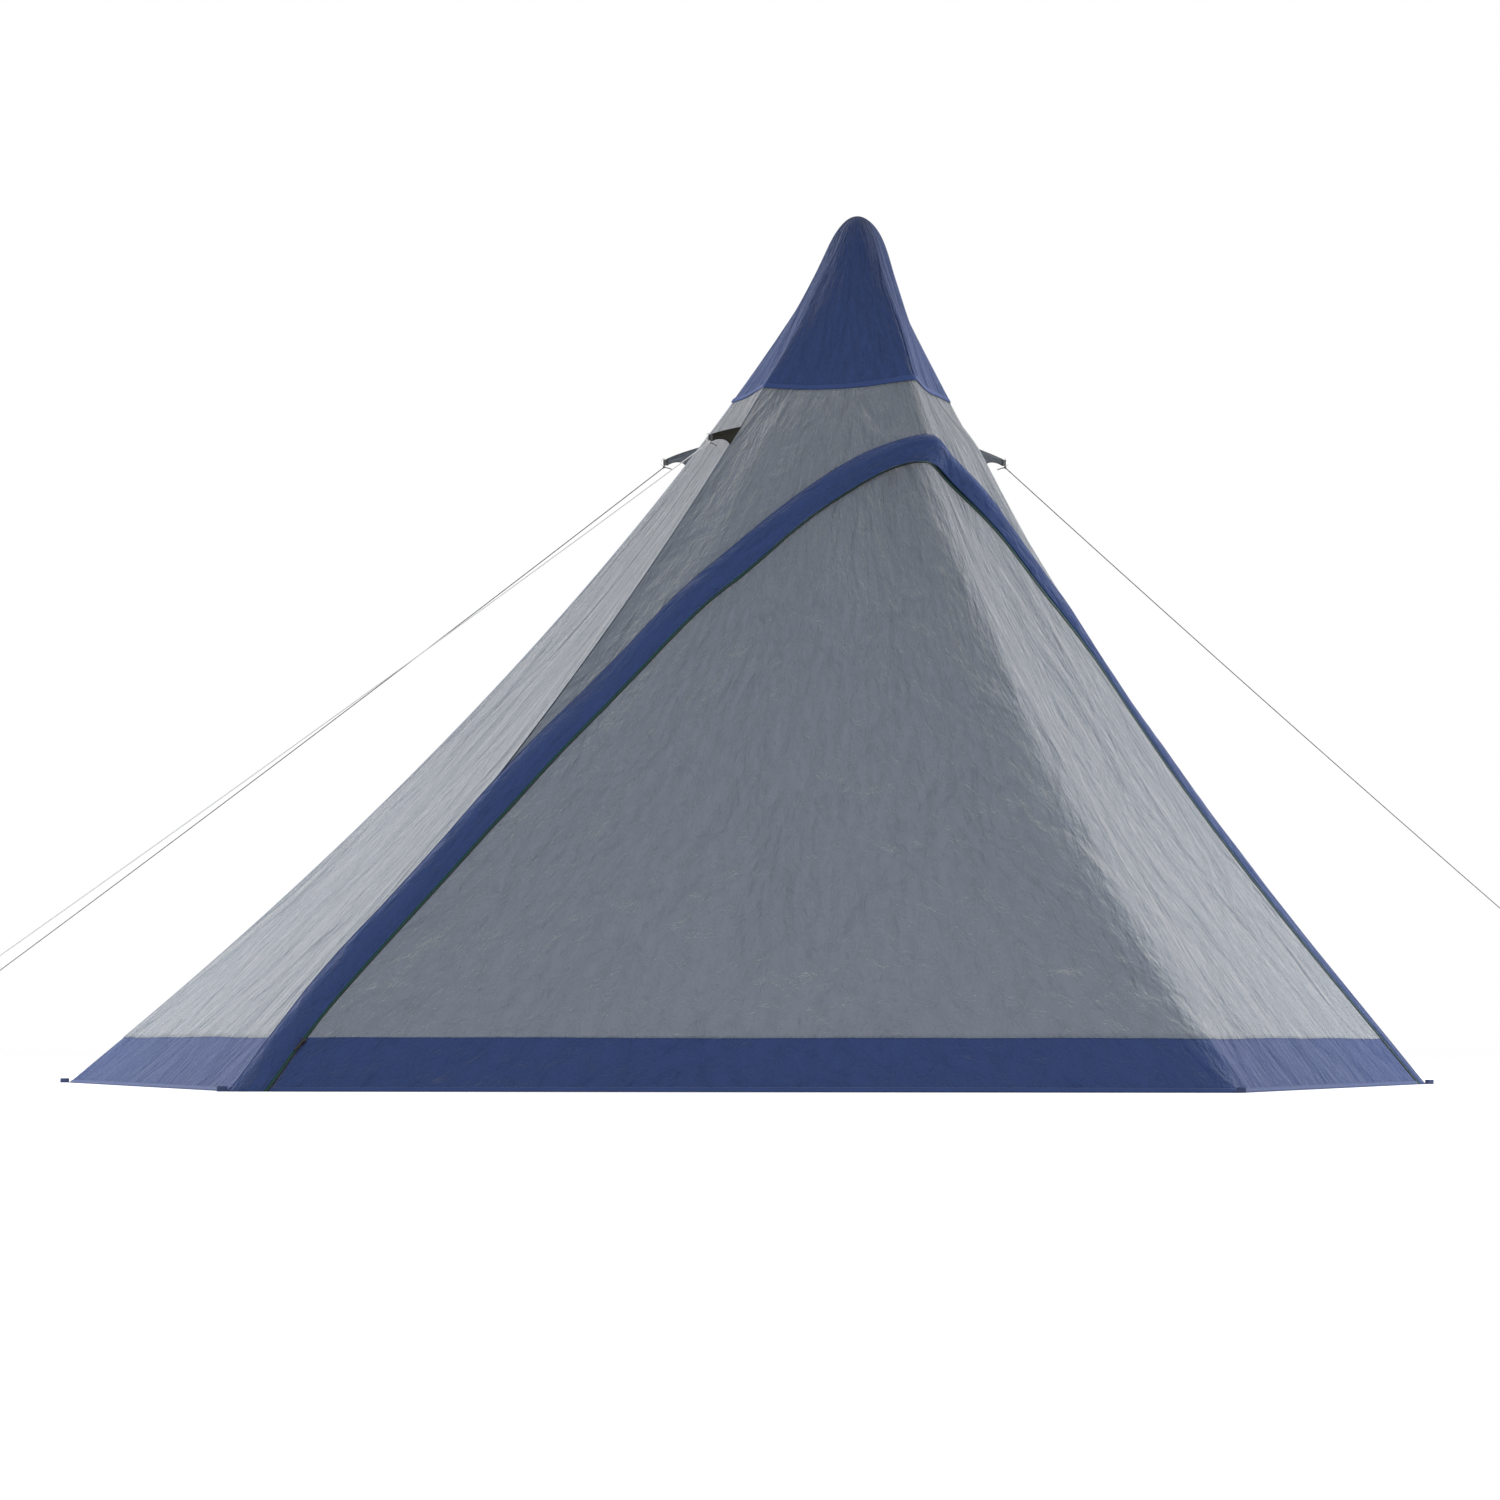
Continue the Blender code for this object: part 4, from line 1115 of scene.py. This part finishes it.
def makeHem(name, body, pointAt, start, end, steps):
    z = seam["hemRise"]
    track = []
    for place in evenShares(steps):
        share = start + (end - start) * place
        point = pointAt(z, share)
        up = (pointAt(z + 0.004, share) - point).normalized()
        along = (pointAt(z, share + 0.004) - pointAt(z, share - 0.004)).normalized()
        track.append((point, up, facingOut(along, up, point)))
    hem = ribbon(name, track, seam["hem"], "blueSeam", body, thickness=0.0006, inside=insidePoint)


for name in seam["runs"]:
    makeRidgeSeam(name)
for side, pair in sideCorners.items():
    makeHem(side + "Hem", "tent", lambda z, share: sidePoint(*pair, z, share), 0.004, 0.996,
            seam["sideSteps"])
hemEnd = max(share for z, share in doorEdge if 0 < z < 0.02) - 0.002
makeHem("doorHem", "door", lambda z, share: frontPoint(z, share, 0.0), -hemEnd, hemEnd, seam["doorSteps"])
print("seams made")

# guy points: cloth tab, webbing tip and ring

guy = {
    "height": 1.566,
    "reach": 0.067,
    "rootRise": 0.024,
    "rootDrop": 0.020,
    "tipDrop": 0.008,
    "tipHeight": 0.0155,
    "edgeLift": 0.0096,
    "wave": 0.0012,
    "tabSize": (28, 16),
    "tabThickness": 0.0021,
    # the front-left tab takes the shaded copy of the tab cloth, which is painted shade
    "tabLooks": {"frontLeft": "paintedShadeTabCloth"},
    "beads": {"tabTopEdge": 1.0, "tabLowEdge": 0.0},
    "beadRadius": 0.0014,
    "tabRoot": 0.001,
    "intoWebbing": 0.003,
    "sewnWidth": 0.044,
    "sewnArea": 0.0021,
    "webbingLength": 0.012,
    "webbingThickness": 0.005,
    "webbingRound": 0.0013,
    "tackRows": 5,
    "tackRadius": 0.00042,
    "barInset": 0.003,
    "ringWire": 0.001,
    "ringHeight": 0.022,
    "ringDepth": 0.011,
    "clearance": 0.0003,
}
guyCorners = corners[1:]


def nameTail(corner):
    return corner[0].upper() + corner[1:]


def nodeTail(corner):
    return "".join("_" + letter.lower() if letter.isupper() else letter for letter in corner)


def acrossFrom(corner):
    return Vector((-outward[corner].y, outward[corner].x, 0))


def tabTip(corner):
    return ridgeRadius(corner, guy["height"]) + guy["reach"]


def ringCentre(corner):
    reach = tabTip(corner) + guy["clearance"] + guy["webbingLength"] - guy["barInset"]
    return outward[corner] * reach + upright * (guy["height"] - guy["tipDrop"])


def makeTab(corner):
    out = outward[corner]
    across = acrossFrom(corner)
    tip = tabTip(corner)
    centre = guy["height"] - guy["tipDrop"]
    rootLow = guy["height"] - guy["rootDrop"]
    rootHigh = guy["height"] + guy["rootRise"]

    def place(u, v):
        # u runs from the ridge to the tip, v from the lower edge to the upper one
        low = rootLow + (centre - guy["tipHeight"] / 2 - rootLow) * u + guy["edgeLift"] * bow(u)
        high = rootHigh + (centre + guy["tipHeight"] / 2 - rootHigh) * u
        z = low + (high - low) * v
        root = ridgeRadius(corner, z) - guy["tabRoot"]
        wave = guy["wave"] * math.sin(2.2 * math.pi * v + 0.6) * math.sin(math.pi * u) * smoothStep(0, 0.3, u)
        return out * (root + (tip + guy["intoWebbing"] - root) * u) + across * wave + upright * z

    look = guy["tabLooks"].get(corner, "tabCloth")
    piece = gridPiece("tabCloth" + nameTail(corner), guy["tabSize"], place,
                      lambda u, v: (v * 0.04, u * guy["reach"]), look, "tent",
                      inside=out * tip - across, thickness=guy["tabThickness"], offset=0, bevel=0.0004)
    standFor("guy_tab_" + nodeTail(corner))
    for name, v in guy["beads"].items():
        points = [place(u, v) for u in evenShares(20)]
        bead = tube(name + nameTail(corner), points, guy["beadRadius"], 8, look, "tent", across)


def makeWebbingTip(corner):
    length = guy["webbingLength"]
    turn = Matrix.Rotation(math.atan2(outward[corner].y, outward[corner].x), 4, "Z")
    shift = Matrix.Translation((guy["barInset"] - length / 2, 0, 0))
    seat = Matrix.Translation(ringCentre(corner) + poleFoot) @ turn @ shift
    bm = bmesh.new()
    bmesh.ops.create_cube(bm, size=1)
    bmesh.ops.scale(bm, verts=bm.verts, vec=(length, guy["webbingThickness"], guy["tipHeight"]))
    bmesh.ops.bevel(bm, geom=bm.edges[:], offset=guy["webbingRound"], affect="EDGES", segments=3, profile=0.5,
                    material=-1)
    setUvs(bm, lambda co: (co.z, co.x))
    bmesh.ops.transform(bm, matrix=seat, verts=bm.verts)
    piece = finishPiece("webbingTip" + nameTail(corner), bm, "blackWebbing", "tent")
    standFor("guy_webbing_" + nodeTail(corner))
    bm = bmesh.new()
    for side in (-1, 1):
        for row in range(guy["tackRows"]):
            rise = (row / (guy["tackRows"] - 1) - 0.5) * guy["tipHeight"] * 0.66
            made = bmesh.ops.create_cone(bm, cap_ends=True, segments=6, radius1=guy["tackRadius"],
                                         radius2=guy["tackRadius"], depth=length * 0.5)["verts"]
            bmesh.ops.rotate(bm, verts=made, cent=(0, 0, 0), matrix=Matrix.Rotation(math.pi / 2, 3, "Y"))
            bmesh.ops.translate(bm, verts=made, vec=(-0.0012, side * guy["webbingThickness"] / 2, rise))
    bmesh.ops.transform(bm, matrix=seat, verts=bm.verts)
    finishPiece("barTack" + nameTail(corner), bm, "tackThread", "tent")


def makeRing(corner):
    # a straight bar in the webbing, two short bends and a bow
    half = guy["ringHeight"] / 2 - guy["ringWire"]
    depth = guy["ringDepth"] - guy["ringWire"]
    bend = 2 * guy["ringWire"]
    bar = [(0.0, (half - bend) * (2 * share - 1)) for share in evenShares(8)]
    angles = [math.pi / 8 * step for step in (1, 2, 3)]
    turned = [(bend * (1 - math.cos(angle)), half - bend + bend * math.sin(angle)) for angle in angles]
    angles = [math.pi * (0.5 - share) for share in evenShares(32)]
    bowed = [(bend + (depth - bend) * math.cos(angle), half * math.sin(angle)) for angle in angles]
    shape = bar + turned + bowed + [(x, -z) for x, z in reversed(turned)]
    points = [ringCentre(corner) + outward[corner] * x + upright * z for x, z in shape]
    ring = tube("ring" + nameTail(corner), points, guy["ringWire"], 12, "platedSteel",
                "ring_" + nodeTail(corner), acrossFrom(corner), closed=True)
    standFor("guy_ring_" + nodeTail(corner))


for corner in guyCorners:
    makeTab(corner)
    makeWebbingTip(corner)
    makeRing(corner)
print("guy points made")

# guylines: knot at the ring, taut run, runner and peg loop

guyline = {
    "radius": 0.00125,
    "sag": 0.006,
    "spacing": 0.007,
    "runnerLength": 0.030,
    "runnerTravel": 0.060,
    "loopLength": 0.165,
    "loopRadius": 0.014,
    "knotLength": 0.008,
    "knotGap": 0.0006,
    # knots: radius of the winding and of its cord
    "ringKnot": (0.0021, 0.0009),
    "endKnot": (0.0020, 0.0011),
    "tailLength": 0.021,
    "tailDrop": (0.0035, 0.003),
    "tailRadius": 0.0013,
    "steps": 60,
    "runs": {
        "backLeft": {"slope": 0.6266, "reach": 2.60, "look": "darkCord"},
        "frontLeft": {"slope": 0.6550, "reach": 2.42, "look": "paleCord"},
        "frontRight": {"slope": 0.6684, "reach": 2.12, "look": "darkCord"},
    },
}


def guylineRoute(corner):
    # places as (distance along the line, distance below it)
    out = outward[corner]
    run = guyline["runs"][corner]
    radius = guyline["radius"]
    start = ringCentre(corner) + out * 2 * radius
    start -= upright * (guy["ringHeight"] / 2 + radius + guy["clearance"])
    along = (out - upright * run["slope"]).normalized()
    below = (-out * run["slope"] - upright).normalized()
    runnerStart = (run["reach"] - start.dot(out)) / along.dot(out)
    knotEnd = runnerStart - guyline["knotLength"] - guyline["knotGap"]
    straight = runnerStart + guyline["runnerLength"]
    eyeStart = straight + guyline["runnerTravel"]
    bend = guyline["loopRadius"]
    eyeCentre = straight + guyline["loopLength"] - bend
    beside = guyline["spacing"]
    spread = bend - beside / 2
    stops = (straight, straight + guyline["runnerTravel"] / 2, eyeStart)
    turns = [math.pi * (share - 0.5) for share in evenShares(24)]
    eases = evenShares(12)[1:-1]
    widening = [(eyeStart + (eyeCentre - eyeStart) * t, spread * smoothStep(0, 1, t)) for t in eases]
    route = [(runnerStart * t, guyline["sag"] * bow(t)) for t in evenShares(guyline["steps"])]
    route += [(stop, 0) for stop in stops]
    route += [(x, -down) for x, down in widening]
    route += [(eyeCentre + bend * math.cos(turn), beside / 2 + bend * math.sin(turn)) for turn in turns]
    route += [(x, beside + down) for x, down in reversed(widening)]
    route += [(stop, beside) for stop in (*reversed(stops), runnerStart, knotEnd)]
    return [start + along * x + below * down for x, down in route], start, along, below, runnerStart


def knot(name, centre, along, side, size, wire, look):
    # three turns of cord wound about the line, closing into a barrel
    turns = 3
    normal = along.cross(side).normalized()
    points = []
    for t in evenShares(14 * turns):
        angle = 2 * math.pi * turns * t
        swell = size * (0.75 + 0.25 * math.sin(math.pi * t))
        offset = along * (t - 0.5) * wire * 2.1 * turns
        points.append(centre + offset + (side * math.cos(angle) + normal * math.sin(angle)) * swell)
    return tube(name, points, wire, 8, look, "tent", along)


def makeGuyline(corner):
    label = nameTail(corner)
    out = outward[corner]
    across = acrossFrom(corner)
    look = guyline["runs"][corner]["look"]
    points, start, along, below, runnerStart = guylineRoute(corner)
    line = tube("guyline" + label, points, guyline["radius"], 10, look, "tent", across)
    ringKnot = knot("ringKnot" + label, start - along * 0.001, along, below, *guyline["ringKnot"], look)
    angles = [2 * math.pi * step / 20 for step in range(20)]
    eye = start + upright * 0.0028 - out * 0.0012
    loop = [eye + across * 0.00256 * math.cos(angle) + upright * 0.0034 * math.sin(angle) for angle in angles]
    hitch = tube("ringHitch" + label, loop, 0.0011, 8, look, "tent", out, closed=True)
    tailStart = start + across * 0.001 - out * 0.003
    first, second = guyline["tailDrop"]
    tail = [tailStart - out * guyline["tailLength"] * t - upright * (first + second * t) * t
            for t in evenShares(8)]
    tailPiece = tube("cordTail" + label, tail, guyline["tailRadius"], 8, "darkCord", "tent", across)
    knotPlace = runnerStart - guyline["knotLength"] / 2 - guyline["knotGap"]
    endKnot = knot("endKnot" + label, start + along * knotPlace + below * guyline["spacing"], along, below,
                   *guyline["endKnot"], look)
    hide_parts("guyline_" + nodeTail(corner))
    carried = [ringKnot, hitch, tailPiece, endKnot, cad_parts["runner_" + nodeTail(corner)]]
    round(lengthsAlong(points)[-1], 3)
    [point + poleFoot for point in points]


for corner in guyline["runs"]:
    makeGuyline(corner)
print("guylines made")

# peg loops at the hem's corners

pegLoop = {
    "length": 0.026,
    "width": 0.013,
    "wall": 0.0015,
    "bandLift": 0.0028,
    # section of the webbing as (share of half its thickness, height)
    "section": ((1, 0.001), (1.15, 0.003), (1.15, 0.009), (1, 0.0112), (0.4, 0.012), (-0.4, 0.012),
                (-1, 0.0112), (-1, 0.001), (-0.4, 0.0003), (0.4, 0.0003), (1, 0.001)),
}


def makePegLoop(corner):
    out = outward[corner]
    across = acrossFrom(corner)
    seat = frontPoint(0, 0, 0.0) if corner == "front" else floorPoint[corner].copy()
    if corner in ("frontLeft", "frontRight"):
        # out to the face of the band, which ends at these corners
        edge = floorPoint["frontRight"] - floorPoint["front"]
        reach = edge.cross(floorPoint["front"]).length / edge.length
        distance = reach * canopy["height"] / math.hypot(reach, canopy["height"])
        seat = seat * (1 + pegLoop["bandLift"] / distance)
    seat = seat + out * guy["clearance"]
    radius = (pegLoop["width"] - pegLoop["wall"]) / 2
    middle = pegLoop["width"] / 2
    points = []
    for centre, first in ((pegLoop["length"] - middle, -0.5), (middle, 0.5)):
        for share in evenShares(12):
            angle = math.pi * (first + share)
            sideways = across * radius * math.sin(angle)
            points.append(seat + out * (centre + radius * math.cos(angle)) + sideways)
    count = len(points)
    track = []
    for index in range(count + 1):
        along = (points[(index + 1) % count] - points[(index - 1) % count]).normalized()
        track.append((points[index % count], along.cross(upright).normalized(), upright))
    profile = [(share * pegLoop["wall"] / 2, height) for share, height in pegLoop["section"]]
    body = "door" if corner == "front" else "tent"
    piece = ribbon("pegLoop" + nameTail(corner), track, profile, "blueWebbing", body, around=True)
    standFor("peg_loop_" + nodeTail(corner))


for corner in corners:
    makePegLoop(corner)
print("peg loops made")

# finishes of the hard parts that come from the frame

hardFinishes = {
    "mouldedPlastic": (
        "pole_foot", "pole_top_cap", "runner_back_left", "runner_front_left", "runner_front_right",
    ),
    "drawnTube": ("pole_lower_section", "pole_middle_section", "pole_upper_section"),
    "blackZinc": ("zip_slider", "zip_pull"),
}
for look, nodes in hardFinishes.items():
    for node in nodes:
        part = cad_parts[node]
        if not part.material_slots:
            part.data.materials.append(looks[look])
        for slot in part.material_slots:
            slot.material = looks[look]

# studio: floor, world, lamps and camera

studio = {
    "floorSize": 60.0,
    "floorColour": (0.86, 0.86, 0.86),
    "floorGlow": 0.20,
    "worldLight": 0.92,
    "lampAngles": {"leftBank": 119, "rightBank": 349},
    "lampDistance": 7.0,
    "lampHeight": 3.4,
    "lampSize": 3.0,
    "lampPower": 450,
    "lampAim": 0.8,
    "lens": 117.99,
    "sensor": 36.0,
    "focal": 4916.24,
    "distance": 12.0136,
    "azimuth": -36.2807,
    "cameraHeight": 0.1202,
    "horizonRow": 1037.76,
    "poleShift": 107.79,
    "roll": 0.055,
    "frameSize": 1500,
}


def rayMask(tree):
    # 1 for what the camera sees directly, in a gloss or through glass
    path = makeNode(tree, "LightPath", {})
    seen = mathNode(tree, "MAXIMUM", path["Is Camera Ray"], path["Is Glossy Ray"])
    return mathNode(tree, "MAXIMUM", seen, path["Is Transmission Ray"])


def makeFloor():
    tree, shader = startMaterial("paleFloor")
    fill(tree, shader, {
        "Base Color": studio["floorColour"],
        "Roughness": 1.0,
        "Specular IOR Level": 0.0,
        "Emission Color": (1.0, 1.0, 1.0),
        "Emission Strength": times(tree, rayMask(tree), studio["floorGlow"]),
    })
    bm = bmesh.new()
    bmesh.ops.create_grid(bm, x_segments=1, y_segments=1, size=studio["floorSize"] / 2)
    meshObject("floor", bm, "paleFloor")


def makeWorld():
    world = bpy.data.worlds.new("studioWorld")
    world.use_nodes = True
    bpy.context.scene.world = world
    tree = world.node_tree
    light = studio["worldLight"]
    strength = mathNode(tree, "MULTIPLY_ADD", rayMask(tree), 1 - light, light)
    fill(tree, tree.nodes["Background"], {"Color": (1.0, 1.0, 1.0), "Strength": strength})


def makeLamps():
    for name, degrees in studio["lampAngles"].items():
        light = bpy.data.lights.new(name, "AREA")
        light.shape = "RECTANGLE"
        light.size = light.size_y = studio["lampSize"]
        light.energy = studio["lampPower"]
        lamp = addToScene(name, light)
        angle = math.radians(degrees)
        away = Vector((math.cos(angle), math.sin(angle), 0)) * studio["lampDistance"]
        lamp.location = away + upright * studio["lampHeight"]
        aim = upright * studio["lampAim"] - lamp.location
        lamp.rotation_euler = aim.to_track_quat("-Z", "Y").to_euler()


def makeCamera():
    azimuth = math.radians(studio["azimuth"])
    toTent = Vector((-math.sin(azimuth), math.cos(azimuth), 0))
    right = Vector((math.cos(azimuth), math.sin(azimuth), 0))
    yaw = math.atan2(studio["poleShift"], studio["focal"])
    pitch = math.atan2(studio["horizonRow"] - studio["frameSize"] / 2, studio["focal"])
    level = toTent * math.cos(yaw) - right * math.sin(yaw)
    sideways = right * math.cos(yaw) + toTent * math.sin(yaw)
    ahead = level * math.cos(pitch) + upright * math.sin(pitch)
    turn = Matrix((sideways, sideways.cross(ahead), -ahead)).transposed().to_4x4()
    data = bpy.data.cameras.new("photoCamera")
    data.sensor_width = studio["sensor"]
    data.lens = studio["lens"]
    data.clip_end = 200.0
    camera = addToScene("photoCamera", data)
    place = poleFoot - toTent * studio["distance"] + upright * studio["cameraHeight"]
    roll = Matrix.Rotation(math.radians(studio["roll"]), 4, "Z")
    camera.matrix_world = Matrix.Translation(place) @ turn @ roll
    bpy.context.scene.camera = camera


makeFloor()
makeWorld()
makeLamps()
makeCamera()
bpy.context.scene.view_settings.view_transform = "Standard"
print("studio ready")
